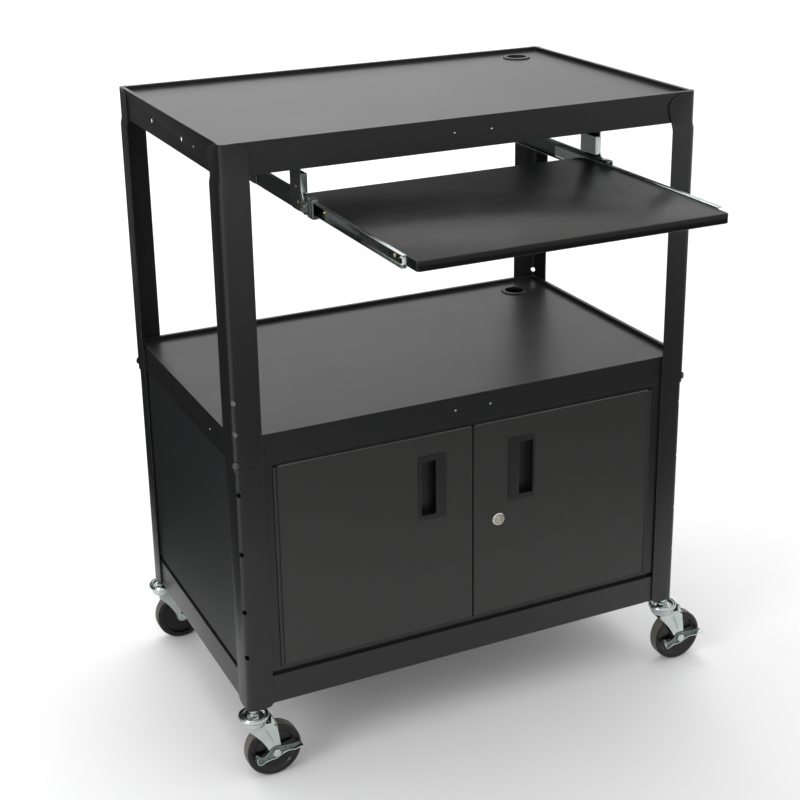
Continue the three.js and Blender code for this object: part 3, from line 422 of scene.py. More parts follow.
class NodeKit:
    """A short way to place and link shader nodes in one tree."""

    def __init__(self, tree: bpy.types.NodeTree) -> None:
        """Keeps the tree that the nodes go into, and room for a group's two ends."""
        self.tree = tree
        self.entry = self.leave = None

    @classmethod
    def group(cls, name: str, inputs: dict[str, float], outputs: dict[str, str]) -> NodeKit:
        """A kit for a new shader group with named sockets.

        Args:
            name: The group's name.
            inputs: Each input's name and starting value.
            outputs: Each output's name and the kind of its socket.
        """
        tree = bpy.data.node_groups.new(name, "ShaderNodeTree")
        for label, value in inputs.items():
            socket = tree.interface.new_socket(label, in_out="INPUT", socket_type="NodeSocketFloat")
            socket.default_value = value
        for label, kind in outputs.items():
            tree.interface.new_socket(label, in_out="OUTPUT", socket_type=kind)
        kit = cls(tree)
        kit.entry = kit.node("NodeGroupInput").outputs
        kit.leave = kit.node("NodeGroupOutput")
        return kit

    def feed(self, node: bpy.types.Node, socket: str | int, value: object) -> None:
        """Sets a socket, or links it when the value is another node's output."""
        if isinstance(value, bpy.types.NodeSocket):
            self.tree.links.new(value, node.inputs[socket])
        else:
            node.inputs[socket].default_value = value

    def node(self, kind: str, **inputs: object) -> bpy.types.Node:
        """A new node.

        Args:
            kind: Blender's name for the node.
            **inputs: Socket names, with underscores for spaces, and their values or sources.

        Returns:
            The node.
        """
        made = self.tree.nodes.new(kind)
        for key, value in inputs.items():
            self.feed(made, key.replace("_", " "), value)
        return made

    def placed(self, group: bpy.types.NodeTree, **inputs: object) -> bpy.types.bpy_prop_collection:
        """The outputs of one use of a shared group, with its own values."""
        made = self.tree.nodes.new("ShaderNodeGroup")
        made.node_tree = group
        for key, value in inputs.items():
            self.feed(made, key.replace("_", " "), value)
        return made.outputs

    def place(self) -> Socket:
        """Where the surface's point is, in the piece's own coordinates."""
        return self.node("ShaderNodeTexCoord").outputs["Object"]

    def noise(self, place: object, scale: object, detail: float = 2.0, rough: float = 0.5) -> Socket:
        """A Noise Texture node, and its value."""
        made = self.node("ShaderNodeTexNoise", Vector=place, Scale=scale, Detail=detail)
        self.feed(made, "Roughness", rough)
        return made.outputs["Fac"]

    def math(self, operation: str, first: object, second: object) -> Socket:
        """A Math node of two inputs, and its output."""
        made = self.node("ShaderNodeMath")
        made.operation = operation
        self.feed(made, 0, first)
        self.feed(made, 1, second)
        return made.outputs[0]

    def mix(self, factor: object, first: object, second: object) -> Socket:
        """A Mix node of colours, and its colour output."""
        made = self.node("ShaderNodeMix")
        made.data_type = "RGBA"
        for socket, value in ((0, factor), (6, first), (7, second)):
            self.feed(made, socket, value)
        return made.outputs[2]

    def range(
        self, value: object, low: float, high: float, to_low: float, to_high: float
    ) -> Socket:
        """A Map Range node from low..high to to_low..to_high, clamped."""
        ends = {"From_Min": low, "From_Max": high, "To_Min": to_low, "To_Max": to_high}
        return self.node("ShaderNodeMapRange", Value=value, **ends).outputs["Result"]


class SharedGroups:
    """The effects that more than one finish uses, each built once."""

    def __init__(self) -> None:
        """Builds the three groups."""
        self.texture = self._coat_texture()
        self.wear = self._edge_wear()
        self.dust = self._dust_and_marks()

    def _coat_texture(self) -> bpy.types.NodeTree:
        """Fine relief of a coat: broad waves and small pimples added as one height.

        Returns:
            A group whose Height is 0.6 of a fine noise plus 0.4 of a coarse one, and whose Mask is
            the fine noise alone.
        """
        outputs = {"Height": "NodeSocketFloat", "Mask": "NodeSocketFloat"}
        kit = NodeKit.group("coat_texture", {"Fine Scale": 900.0, "Wave Scale": 90.0}, outputs)
        place = kit.place()
        fine = kit.noise(place, kit.entry["Fine Scale"], 2.0, 0.6)
        wave = kit.noise(place, kit.entry["Wave Scale"], 1.0)
        total = kit.math("ADD", kit.math("MULTIPLY", fine, 0.6), kit.math("MULTIPLY", wave, 0.4))
        kit.feed(kit.leave, "Height", total)
        kit.feed(kit.leave, "Mask", fine)
        return kit.tree

    def _edge_wear(self) -> bpy.types.NodeTree:
        """Where a rounded normal leaves the true one, broken up by noise. The mask lightens edges,
        partly as wear and partly as a painted highlight.

        Returns:
            A group whose Mask is near 1 on edges, and whose Edge Normal is the rounded normal.
        """
        outputs = {"Mask": "NodeSocketFloat", "Edge Normal": "NodeSocketVector"}
        kit = NodeKit.group("edge_wear", {"Radius": 0.0012, "Break Up": 140.0}, outputs)
        bevel = kit.node("ShaderNodeBevel", Radius=kit.entry["Radius"])
        bevel.samples = 4
        along = kit.node("ShaderNodeVectorMath")
        along.operation = "DOT_PRODUCT"
        kit.feed(along, 0, bevel.outputs["Normal"])
        kit.feed(along, 1, kit.node("ShaderNodeNewGeometry").outputs["Normal"])
        turn = kit.range(along.outputs["Value"], 0.995, 0.86, 0.0, 1.0)
        broken = kit.range(kit.noise(kit.place(), kit.entry["Break Up"], 3.0), 0.42, 0.62, 0.25, 1.0)
        kit.feed(kit.leave, "Mask", kit.math("MULTIPLY", turn, broken))
        kit.feed(kit.leave, "Edge Normal", bevel.outputs["Normal"])
        return kit.tree

    def _dust_and_marks(self) -> bpy.types.NodeTree:
        """Soft patches of dust on what faces up, and thin rubbed marks everywhere.

        Returns:
            A group whose Dust is a patchy mask of upward faces, and whose Marks are thin streaks.
        """
        outputs = {"Dust": "NodeSocketFloat", "Marks": "NodeSocketFloat"}
        kit = NodeKit.group("dust_and_marks", {"Patch Scale": 9.0, "Mark Scale": 40.0}, outputs)
        place = kit.place()
        patch = kit.range(kit.noise(place, kit.entry["Patch Scale"], 4.0, 0.55), 0.38, 0.7, 0.25, 1.0)
        normal = kit.node("ShaderNodeNewGeometry").outputs["Normal"]
        upward = kit.node("ShaderNodeSeparateXYZ", Vector=normal).outputs["Z"]
        facing = kit.range(upward, 0.3, 0.95, 0.0, 1.0)
        stretch, tilt = (1.0, 7.0, 3.0), (0.3, 0.2, 0.5)
        streak = kit.node("ShaderNodeMapping", Vector=place, Scale=stretch, Rotation=tilt)
        line = kit.noise(streak.outputs["Vector"], kit.entry["Mark Scale"], 5.0, 0.7)
        kit.feed(kit.leave, "Dust", kit.math("MULTIPLY", facing, patch))
        kit.feed(kit.leave, "Marks", kit.range(line, 0.62, 0.72, 0.0, 1.0))
        return kit.tree


@dataclass(frozen=True)
class Finish:
    """A finish: its name and slot, two colours of its ground, how rough it is, and its details."""

    name: str
    slot: Slot
    dark: Colour
    light: Colour
    rough: tuple[float, float]
    metal: float = 0.0
    fine_scale: float = 900.0
    wave_scale: float = 90.0
    relief: float = 0.05
    relief_depth: float = 0.0004
    # Colour of the lightened edges: partly wear, partly a painted highlight.
    edge_color: Colour = (0.12, 0.12, 0.125, 1.0)
    edge_share: float = 0.35
    dust_share: float = 0.05
    dust_color: Colour = (0.32, 0.31, 0.29, 1.0)
    mark_gloss: float = 0.04
    coat: float = 0.0
    coat_rough: float = 0.2
    ior: float = 1.5

    def mixed(self, groups: SharedGroups) -> bpy.types.Material:
        """Builds the material.

        Args:
            groups: The shared shader groups.

        Returns:
            The new material: the ground's two colours mixed by fine noise, edges lightened partly for
                wear
            and partly as a painted highlight, a little dust on top, over a relief from the coat's
            texture.
        """
        material = bpy.data.materials.new(self.name)
        material.use_nodes = True
        kit = NodeKit(material.node_tree)
        texture = kit.placed(groups.texture, Fine_Scale=self.fine_scale, Wave_Scale=self.wave_scale)
        wear, dust = kit.placed(groups.wear), kit.placed(groups.dust)
        ground = kit.mix(texture["Mask"], self.dark, self.light)
        # Edges lightened towards the edge colour: partly wear, partly a painted highlight.
        worn_and_highlit = kit.mix(kit.math("MULTIPLY", wear["Mask"], self.edge_share), ground, self.edge_color)
        dusty = kit.mix(kit.math("MULTIPLY", dust["Dust"], self.dust_share), worn_and_highlit, self.dust_color)
        rough = kit.range(texture["Mask"], 0.3, 0.7, *self.rough)
        rubbed = kit.math("SUBTRACT", rough, kit.math("MULTIPLY", dust["Marks"], self.mark_gloss))
        bump = kit.node("ShaderNodeBump", Height=texture["Height"], Normal=wear["Edge Normal"])
        bump.inputs["Strength"].default_value = self.relief
        bump.inputs["Distance"].default_value = self.relief_depth
        shader = material.node_tree.nodes["Principled BSDF"]
        kit.feed(shader, "Base Color", dusty)
        kit.feed(shader, "Roughness", rubbed)
        kit.feed(shader, "Normal", bump.outputs["Normal"])
        shader.inputs["Metallic"].default_value = self.metal
        shader.inputs["IOR"].default_value = self.ior
        shader.inputs["Coat Weight"].default_value = self.coat
        shader.inputs["Coat Roughness"].default_value = self.coat_rough
        return material


def grey(value: float, warm: float = 0.0) -> Colour:
    """A grey as linear light, a little warmer or, below nought, cooler."""
    return (value * (1 + warm), value, value * (1 - warm), 1.0)


class Coat(Enum):
    """Every finish on the cart."""

    POWDER = Finish(
        "powder_coat_black", Slot.POWDER, grey(0.005, -0.03), grey(0.011, -0.02), (0.3, 0.4),
        fine_scale=800.0, relief=0.42, edge_color=grey(0.09), edge_share=0.5, ior=1.46,
    )
    # A darker, bluer copy of the powder coat for the cabinet's sides: painted shade.
    SIDES = Finish(
        "powder_coat_sides", Slot.POWDER, grey(0.004, -0.12), grey(0.01, -0.1), (0.48, 0.58),
        fine_scale=1400.0, wave_scale=160.0, relief=0.2, relief_depth=0.0003, edge_color=grey(0.05),
    )
    DOORS = Finish(
        "powder_coat_doors", Slot.POWDER, grey(0.008, 0.05), grey(0.024, 0.05), (0.36, 0.5),
        wave_scale=120.0, relief=0.34, edge_color=grey(0.06),
    )
    # A lighter copy of the powder coat for the doors' rolled edges: painted highlight.
    ROLLED = Finish(
        "powder_coat_edges", Slot.POWDER, grey(0.03, -0.06), grey(0.05, -0.06), (0.3, 0.4),
        fine_scale=1200.0, wave_scale=160.0, relief=0.1, edge_color=grey(0.16, -0.05),
        edge_share=0.5, coat=0.5,
    )
    LAMINATE = Finish(
        "board_laminate", Slot.LAMINATE, grey(0.003, -0.05), grey(0.007, -0.05), (0.3, 0.38),
        fine_scale=600.0, wave_scale=60.0, relief=0.08, edge_share=0.4, edge_color=grey(0.08), ior=1.3,
    )
    PLASTIC = Finish(
        "moulded_plastic", Slot.PLASTIC, grey(0.003), grey(0.007), (0.34, 0.46),
        fine_scale=1500.0, wave_scale=200.0, relief=0.1, edge_share=0.25, edge_color=grey(0.05),
    )
    # Its wide mottle between a dark and a light zinc is partly the plating's own mottling and partly
    # painted dark reflection.
    ZINC = Finish(
        "zinc_plate", Slot.ZINC, (0.42, 0.49, 0.47, 1.0), (0.68, 0.73, 0.71, 1.0), (0.13, 0.2),
        metal=1.0, fine_scale=60.0, wave_scale=24.0, relief=0.06,
        edge_color=(0.78, 0.82, 0.8, 1.0), edge_share=0.5, dust_share=0.02,
    )
    # A darker copy of the zinc for the hangers, the fixed rails and the brake webs: painted shade and
    # dark reflection.
    DULL_ZINC = Finish(
        "zinc_plate_dull", Slot.ZINC, (0.03, 0.045, 0.045, 1.0), (0.32, 0.37, 0.36, 1.0),
        (0.26, 0.36), metal=1.0, fine_scale=260.0, wave_scale=60.0, relief=0.12,
        edge_color=(0.6, 0.66, 0.65, 1.0), edge_share=0.5, dust_share=0.02,
    )
    OXIDE = Finish(
        "black_oxide", Slot.OXIDE, grey(0.05), grey(0.08), (0.2, 0.3), metal=0.8,
        fine_scale=300.0, edge_color=grey(0.3),
    )
    RUBBER = Finish(
        "wheel_rubber", Slot.RUBBER, grey(0.002, 0.02), grey(0.004, 0.02), (0.12, 0.2),
        fine_scale=500.0, wave_scale=50.0, relief=0.06, edge_share=0.1, dust_share=0.04, ior=1.42,
    )
    TREAD = Finish(
        "wheel_tread", Slot.RUBBER, (0.07, 0.064, 0.053, 1.0), (0.14, 0.13, 0.108, 1.0), (0.5, 0.7),
        fine_scale=420.0, wave_scale=60.0, relief=0.3, edge_share=0.1, dust_share=0.2,
    )
    NICKEL = Finish(
        "bright_nickel", Slot.NICKEL, (0.72, 0.7, 0.62, 1.0), (0.82, 0.8, 0.72, 1.0), (0.14, 0.22),
        metal=1.0, fine_scale=60.0, relief=0.03, edge_color=grey(0.9), edge_share=0.4,
        dust_share=0.02,
    )
    BRASS = Finish(
        "brass_screws", Slot.ZINC, (0.62, 0.44, 0.16, 1.0), (0.8, 0.6, 0.26, 1.0), (0.2, 0.3),
        metal=1.0, fine_scale=120.0, relief=0.04, edge_color=(0.9, 0.75, 0.42, 1.0),
        edge_share=0.4, dust_share=0.02,
    )
    NYLON = Finish(
        "white_nylon", Slot.PLASTIC, grey(0.62, 0.02), grey(0.72, 0.02), (0.4, 0.5),
        fine_scale=700.0, edge_share=0.0,
    )


# Pieces


class Builder:
    """Turns surfaces into objects that ride on the frame's bodies."""

    def __init__(self, frame: dict) -> None:
        groups = SharedGroups()
        self.nodes = frame["nodes"]
        self.paint = {coat: coat.value.mixed(groups) for coat in Coat}
        self.made: list[bpy.types.Object] = []

    def add(
        self,
        name: str,
        skin: Skin,
        body: str,
        coat: Coat,
        replaces: tuple[str, ...] = (),
        smooth_degrees: float = 38.0,
        slot: Slot | None = None,
    ) -> None:
        """Makes one piece of the cart from a surface.

        Args:
            name: The piece's name.
            skin: Its surface, in its place.
            body: The frame's body that it rides on.
            coat: Its finish.
            replaces: The frame's nodes that it stands for.
            smooth_degrees: Edges that turn by less than this are smooth.
            slot: The record's slot, if it isn't its finish's own. It is worked out but not used.
        """
        whole = welded(skin)
        mesh = bpy.data.meshes.new(name)
        mesh.from_pydata(whole.points.tolist(), [], whole.faces)
        mesh.validate()
        shell = bmesh.new()
        shell.from_mesh(mesh)
        bmesh.ops.recalc_face_normals(shell, faces=shell.faces)
        shell.to_mesh(mesh)
        shell.free()
        obj = linked(name, mesh)
        mesh.materials.append(self.paint[coat])
        mesh.polygons.foreach_set("use_smooth", np.ones(len(mesh.polygons), bool))
        mesh.set_sharp_from_angle(angle=math.radians(smooth_degrees))
        slot = slot or coat.value.slot
        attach(obj, body)
        if replaces:
            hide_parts(*replaces)
        self.made.append(obj)
        LOG.info("made %s on %s with %d faces", name, body, len(whole.faces))

    def keep(self, node: str, coat: Coat, smooth_degrees: float = 38.0) -> None:
        """Dresses a node whose shape is right, as a welded copy that is smooth in its bends.

        Args:
            node: The frame's node.
            coat: Its finish.
            smooth_degrees: Edges that turn by less than this are smooth.
        """
        mesh = self.nodes[node].data
        points = np.zeros(len(mesh.vertices) * 3)
        mesh.vertices.foreach_get("co", points)
        corners = np.zeros(len(mesh.loops), np.int32)
        mesh.loops.foreach_get("vertex_index", corners)
        faces = [tuple(int(i) for i in face) for face in corners.reshape(-1, 3)]
        skin = Skin(points.reshape(-1, 3), faces)
        body = self.nodes[node]["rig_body"]
        self.add(f"{node}_skin", skin, body, coat, (node,), smooth_degrees)


@dataclass
class Datum:
    """Where the cart's own middle stands in the frame, and the rims of its upper trays."""

    x: float
    y: float
    top_rim: float
    middle_rim: float

    @classmethod
    def read(cls) -> Datum:
        """The datum from the boxes of the trays."""
        low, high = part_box("top_tray")
        x, y = (low.x + high.x) / 2, (low.y + high.y) / 2
        return cls(x, y, high.z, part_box("middle_tray")[1].z)

    def at(self, x: float, y: float, z: float) -> tuple[float, float, float]:
        """A point given from the cart's middle, in the frame."""
        return (self.x + x, self.y + y, z)


@dataclass
class Assembly:
    """What each sub-assembly's class works with."""

    builder: Builder
    datum: Datum


@dataclass
class Carcass(Assembly):
    """Trays, legs and cabinet: all the powder-coated sheet steel."""

    rivet_radius: float = 1.9 * MM
    rivet_drop: float = 23 * MM
    rivet_x: float = 32 * MM
    side_rivet_y: float = -135 * MM
    side_rivet_drop: float = 26 * MM
    door_face: float = -254.5 * MM
    roll_inset: float = 2.5 * MM
    roll_proud: float = 0.4 * MM

    def dress(self) -> None:
        """Restyles the sheet steel and what is set in it, and adds rivets and door edges."""
        sheets = ("top_tray", "middle_tray", "base_tray", "cabinet_back", "door_frame")
        parts = [(name, Coat.POWDER) for name in sheets]
        for side in Side:
            # The sides take the darker copy of the powder coat: painted shade.
            parts += [(f"cabinet_side_{side.word}", Coat.SIDES)]
            parts += [(f"door_{side.word}", Coat.DOORS)]
            parts += [(f"hinge_{leaf}_leaf_{side.word}", Coat.POWDER) for leaf in ("frame", "door")]
            parts += [(f"handle_cup_{side.word}", Coat.PLASTIC)]
        for corner in Corner:
            parts += [(f"{half}_leg_{corner.word}", Coat.POWDER) for half in ("upper", "lower")]
            parts += [(f"leg_bolt_{corner.word}", Coat.OXIDE)]
        parts += [(f"cable_grommet_{level}", Coat.PLASTIC) for level in ("top", "middle")]
        parts += [(f"lock_{part}", Coat.NICKEL) for part in ("housing", "plug")]
        for name, coat in parts:
            self.builder.keep(name, coat)
        self._rivets()
        self._door_edges()

    def _door_edges(self) -> None:
        """The rolled top edge of each door, which stands a little proud and catches the light. Its coat
        is a lighter copy of the powder coat: a painted highlight.
        """
        fold = [(-1.6, -0.9), (-1.2, 0.3), (-0.2, 0.9), (3.0, 0.9), (3.0, -0.9)]
        roll = smoothed(np.array(fold) * MM)
        for side in Side:
            low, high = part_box(f"door_{side.word}")
            skin = plate(roll, high.x - low.x - 2 * self.roll_inset, 0.2 * MM).turned(Axis.X)
            front = self.door_face + self.roll_proud + self.datum.y
            placed = skin.at(low.x + self.roll_inset, front, high.z + self.roll_proud)
            # The roll's lighter coat is a painted highlight.
            self.builder.add(f"door_roll_{side.word}", placed, f"door_{side.word}_body", Coat.ROLLED)

    def _rivets(self) -> None:
        """Small domed rivets on the front and side skirts of the two upper trays.

        A dome's profile is (R cos t, 0.6 R sin t) with t from nought to a quarter turn.
        """
        low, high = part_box("top_tray")
        turn = np.linspace(0, math.pi / 2, 7)
        dome = [(self.rivet_radius * math.cos(t), self.rivet_radius * 0.6 * math.sin(t)) for t in turn]
        head = revolved([(0.0, 0.0), *dome], 24)
        for level, rim in (("top", self.datum.top_rim), ("middle", self.datum.middle_rim)):
            skin = Skin()
            for x in (-self.rivet_x, self.rivet_x):
                skin += head.turned(Axis.Y).at(self.datum.x + x, low.y, rim - self.rivet_drop)
            for side in Side:
                x = side.value * (high.x - low.x) / 2
                at = self.datum.at(x, self.side_rivet_y, rim - self.side_rivet_drop)
                skin += head.turned(Axis.X).on(side).at(*at)
            self.builder.add(f"skirt_rivets_{level}", skin, "cart", Coat.ZINC)


@dataclass
class KeyboardSlide(Assembly):
    """The board, its ball slides, and the hangers and brackets that carry them."""

    board_half: float = 250 * MM
    rail_drop: float = 117.5 * MM
    moving: tuple[float, float] = (-537 * MM, -80 * MM)
    fixed: tuple[float, float] = (-240 * MM, 217 * MM)
    clip_length: float = 19 * MM
    rail_web: float = 1.5 * MM
    fold: float = 1.6 * MM
    edge: float = 0.15 * MM
    moving_sheet: float = 1.2 * MM
    fixed_sheet: float = 1.5 * MM
    collar_sheet: float = 0.9 * MM
    screw_radius: float = 3.1 * MM
    screw_height: float = 1.5 * MM
    screws_on_rail: tuple[float, ...] = (-260 * MM, -502 * MM)
    strap_face: float = 264.3 * MM
    strap_screws: tuple[tuple[float, float], ...] = ((-181.6, 25.4), (-189.6, 2.4), (12, 2.4))
    rivet_y: float = -210 * MM
    bumper_y: float = -530.4 * MM

    def dress(self) -> None:
        """Restyles the board and hangers, and folds finer rails."""
        self.builder.keep("keyboard_board", Coat.LAMINATE, 50.0)
        for side in Side:
            for part in ("slide_ball_cage", "slide_bracket"):
                self.builder.keep(f"{part}_{side.word}", Coat.ZINC)
            for part in ("hanger_front", "hanger_rear"):
                # The hangers take the darker zinc: painted shade.
                self.builder.keep(f"{part}_{side.word}", Coat.DULL_ZINC)
            self._rails(side)
            self._screws(side)

    def _level(self) -> float:
        """The height of the slides' middle."""
        return self.datum.top_rim - self.rail_drop

    def _on_side(self, skin: Skin, side: Side, out: float, y: float, z: float) -> Skin:
        """A skin turned to face away from the board, at a distance from the cart's middle."""
        return skin.turned(Axis.X).on(side).at(*self.datum.at(side.value * out, y, z))

    def _channel(self, side: Side, path: Line, sheet: float, span: tuple[float, float]) -> Skin:
        """A folded channel along Y.

        Args:
            side: The side of the cart.
            path: The path of its outer face, as distance from the board's edge and height, in mm.
            sheet: The sheet's thickness.
            span: Its first and last y from the cart's middle.

        Returns:
            The channel in its place.
        """
        outline = sheet_outline(np.array(rounded(in_mm(path), self.fold, 5)), sheet)
        skin = plate(outline, span[1] - span[0], self.edge).turned(Axis.Y)
        middle = self.datum.at(0.0, 0.0, self._level())
        return skin.at(self.board_half, span[1], 0.0).on(side).at(*middle)

    def _rails(self, side: Side) -> None:
        """A slide's two rails, folded with round bends, and the fixed one's collar and rivet."""
        near = [(8, 9.5), (0.3, 9.5), (0.3, -9.5), (8, -9.5)]
        far = [(3, 14), (12, 14), (12, -14), (3, -14)]
        around = [(2, 15), (13, 15), (13, -15), (2, -15)]
        front = (self.fixed[0], self.fixed[0] + self.clip_length)
        moving = self._channel(side, near, -self.moving_sheet, self.moving)
        fixed = self._channel(side, far, self.fixed_sheet, self.fixed)
        collar = self._channel(side, around, self.collar_sheet, front)
        shank = [(0, -3), (2.4, -3), (2.4, 0), (4, 0), (4, 0.7), (3, 1.5), (0, 1.6)]
        seat = self.strap_face - 0.1 * MM
        head = self._on_side(revolved(in_mm(shank), 32), side, seat, self.rivet_y, self._level())
        add, name = self.builder.add, side.word
        inner, outer = (f"slide_moving_rail_{name}",), (f"slide_fixed_rail_{name}",)
        add(f"rail_moving_{name}", moving, "keyboard_tray", Coat.ZINC, inner)
        # The fixed rail takes the darker zinc: painted shade.
        add(f"rail_fixed_{name}", fixed, "cart", Coat.DULL_ZINC, outer)
        add(f"rail_collar_{name}", collar + head, "cart", Coat.ZINC, outer)

    def _screws(self, side: Side) -> None:
        """Brass screws in rail and hangers, and the ring and rubber stop at the rail's front."""
        level, rail_face = self._level(), self.board_half + self.rail_web
        head = screw_head(self.screw_radius, self.screw_height)
        rail, strap = Skin(), Skin()
        for y in self.screws_on_rail:
            rail += self._on_side(head, side, rail_face, y, level)
        for y, rise in in_mm(self.strap_screws):
            strap += self._on_side(head, side, self.strap_face, y, level + rise)
        self.builder.add(f"rail_screws_{side.word}", rail, "keyboard_tray", Coat.BRASS)
        self.builder.add(f"strap_screws_{side.word}", strap, "cart", Coat.BRASS)
        collar = [(0, 0), (6.2, 0), (6.2, 3.4), (5.4, 4.2), (0, 4.2)]
        stop = [(0, 4.1), (3.9, 4.1), (3.9, 5.4), (2.8, 6), (0, 6.1)]
        for word, profile, coat in (("ring", collar, Coat.NYLON), ("stop", stop, Coat.RUBBER)):
            skin = self._on_side(revolved(in_mm(profile), 40), side, rail_face, self.bumper_y, level)
            self.builder.add(f"rail_{word}_{side.word}", skin, "keyboard_tray", coat, slot=Slot.PLASTIC)


@dataclass
class Casters(Assembly):
    """Four swivel casters, the front two with rocker brakes."""

    wheel_width: float = 24 * MM
    swivel_x: float = 396.5 * MM
    swivel_y: float = 244 * MM
    axle: float = 47.01 * MM
    trail: float = 30 * MM
    crown: float = 102 * MM
    foot: float = 129.5 * MM
    outer: float = 16 * MM
    sheet: float = 1.3 * MM
    bend: float = 3.5 * MM
    eye: float = 10.5 * MM
    tail: float = 33 * MM
    nose: tuple[float, float] = (-18 * MM, 99 * MM)
    pull: tuple[float, float] = (13.5 * MM, 69 * MM)
    crease: float = 1.7 * MM
    crease_share: float = 0.56
    crease_width: float = 0.03
    eye_fade: tuple[float, float] = (8 * MM, 14 * MM)
    bend_fade: tuple[float, float] = (4 * MM, 8 * MM)
    bridge_round: float = 20.5 * MM
    turned_round: float = 0.7 * MM
    ear_sheet: float = 1.6 * MM
    reach: float = 44 * MM

    def dress(self) -> None:
        """Makes finer races, forks, wheels and brake levers."""
        for corner in Corner:
            self._mount(corner)
            self._fork(corner)
            self._wheel(corner)
            if corner.is_front:
                self._brake(corner)

    def _stand(self, corner: Corner) -> tuple[float, float, float]:
        """Where a caster's stem meets the floor, in the frame."""
        return self.datum.at(corner.value[0] * self.swivel_x, corner.value[1] * self.swivel_y, 0.0)

    def _mount(self, corner: Corner) -> None:
        """The race with its pressed ridges, the two nuts and the stem, which has no thread."""
        ridges = [
            (0, 0.6), (17.6, 0.6), (20.2, 4), (21.4, 9), (22, 13.4), (21.6, 15), (20.6, 15.8),
            (19.4, 15.4), (18.6, 13.6), (17.8, 11.2), (16.4, 10.3), (14.6, 10.6), (13.6, 11),
            (12.6, 10.4), (8, 10),
            (8, 28.2), (5, 28.2), (5, 41.4), (4.4, 41.8), (0, 41.8),
        ]
        race = revolved(rounded(in_mm(ridges), self.turned_round, 3), 72).at(0, 0, self.crown)
        jam = plate(ring(11 * MM, 6), 8 * MM, 0.9 * MM).at(0, 0, self.crown + 9.7 * MM)
        nut = plate(ring(8.4 * MM, 6), 6 * MM, 0.7 * MM).at(0, 0, self.foot + 4.3 * MM)
        name = f"caster_mount_{corner.word}"
        skin = (race + jam + nut).at(*self._stand(corner))
        self.builder.add(name + "_race", skin, "cart", Coat.ZINC, (name,), 35.0)

    def _edges(self, z: np.ndarray) -> tuple[np.ndarray, np.ndarray]:
        """Where a cheek's left and right edges lie at each height.

        Below the axle both follow the eye's circle, x = trail -+ sqrt(eye^2 - (z - axle)^2). Above
        it the left edge is the quadratic curve from the nose, drawn towards the pull, to the eye,
        and the right edge runs straight from the eye to the tail under the crown.

        Args:
            z: The heights.

        Returns:
            The left edge's x and the right edge's, at each height.
        """
        t = np.linspace(0.0, 1.0, 200)
        weights = np.stack([(1 - t) ** 2, 2 * t * (1 - t), t**2], axis=-1)
        curve = weights @ np.array([self.nose, self.pull, (self.trail - self.eye, self.axle)])
        rise = (z - self.axle) / (self.crown - self.axle)
        circle = np.sqrt(np.clip(self.eye**2 - (z - self.axle) ** 2, 0.0, None))
        swept = np.interp(z, curve[::-1, 1], curve[::-1, 0])
        straight = self.trail + self.eye + (self.tail - self.trail - self.eye) * rise
        below = z < self.axle
        left = np.where(below, self.trail - circle, swept)
        return left, np.where(below, self.trail + circle, straight)

    def _shell(self) -> Skin:
        """The fork's one pressed sheet: a cheek, the bridge over the wheel and the other cheek.

        The path (y, z) runs up the front cheek, round a bend of 3.5 mm and over to the back one.
        A point is (l + t (r - l), y, z) moved in along the path's normal by c f(z) times the
        larger of exp(-((t - m) / 0.03)^2) and (m - t) / m, which leaves a crease of depth c at the
        share m and a sloping part on its left; f fades both out at the eye and at the bend. The
        bridge's left end follows the circle of the bowl. The inner face is the outer one moved in
        by the sheet.
        """
        rows, bend, low = 45, self.bend, self.axle - self.eye
        climb = low + (self.crown - bend - low) * (0.5 - 0.5 * np.cos(np.linspace(0.0, math.pi, rows)))
        turn = np.linspace(0.0, math.pi / 2, 8)[1:]
        level = np.linspace(-(self.outer - bend), 0.0, 5)[1:]
        y = np.concatenate([np.full(rows, -self.outer), bend - self.outer - bend * np.cos(turn), level])
        z = np.concatenate([climb, self.crown - bend + bend * np.sin(turn), np.full(4, self.crown)])
        across = np.concatenate([np.full(rows, -1.0), -np.cos(turn), np.zeros(4)])
        over = np.concatenate([np.zeros(rows), np.sin(turn), np.ones(4)])
        y, across = np.concatenate([y, -y[-2::-1]]), np.concatenate([across, -across[-2::-1]])
        z, over = np.concatenate([z, z[-2::-1]]), np.concatenate([over, over[-2::-1]])
        left, right = self._edges(z)
        left = np.maximum(left, -np.sqrt(np.clip(self.bridge_round**2 - y**2, 0.0, None)))
        t = np.linspace(0.0, 1.0, 57)
        fade_low = np.clip((z - self.axle - self.eye_fade[0]) / self.eye_fade[1], 0.0, 1.0)
        fade_high = np.clip((self.crown - self.bend_fade[0] - z) / self.bend_fade[1], 0.0, 1.0)
        groove = np.exp(-(((t - self.crease_share) / self.crease_width) ** 2))
        slope = np.clip(self.crease_share - t, 0.0, None) / self.crease_share
        inward = self.crease * (fade_low * fade_high)[:, None] * np.maximum(groove, slope)[None, :]
        x = left[:, None] + (right - left)[:, None] * t[None, :]
        moved = [y[:, None] - across[:, None] * inward, z[:, None] - over[:, None] * inward]
        face = np.stack([x, *moved], axis=-1)
        depth = np.stack([0.0 * y, across, over], axis=-1)[:, None, :] * self.sheet
        return lofted(np.concatenate([face, (face - depth)[:, ::-1]], axis=1))

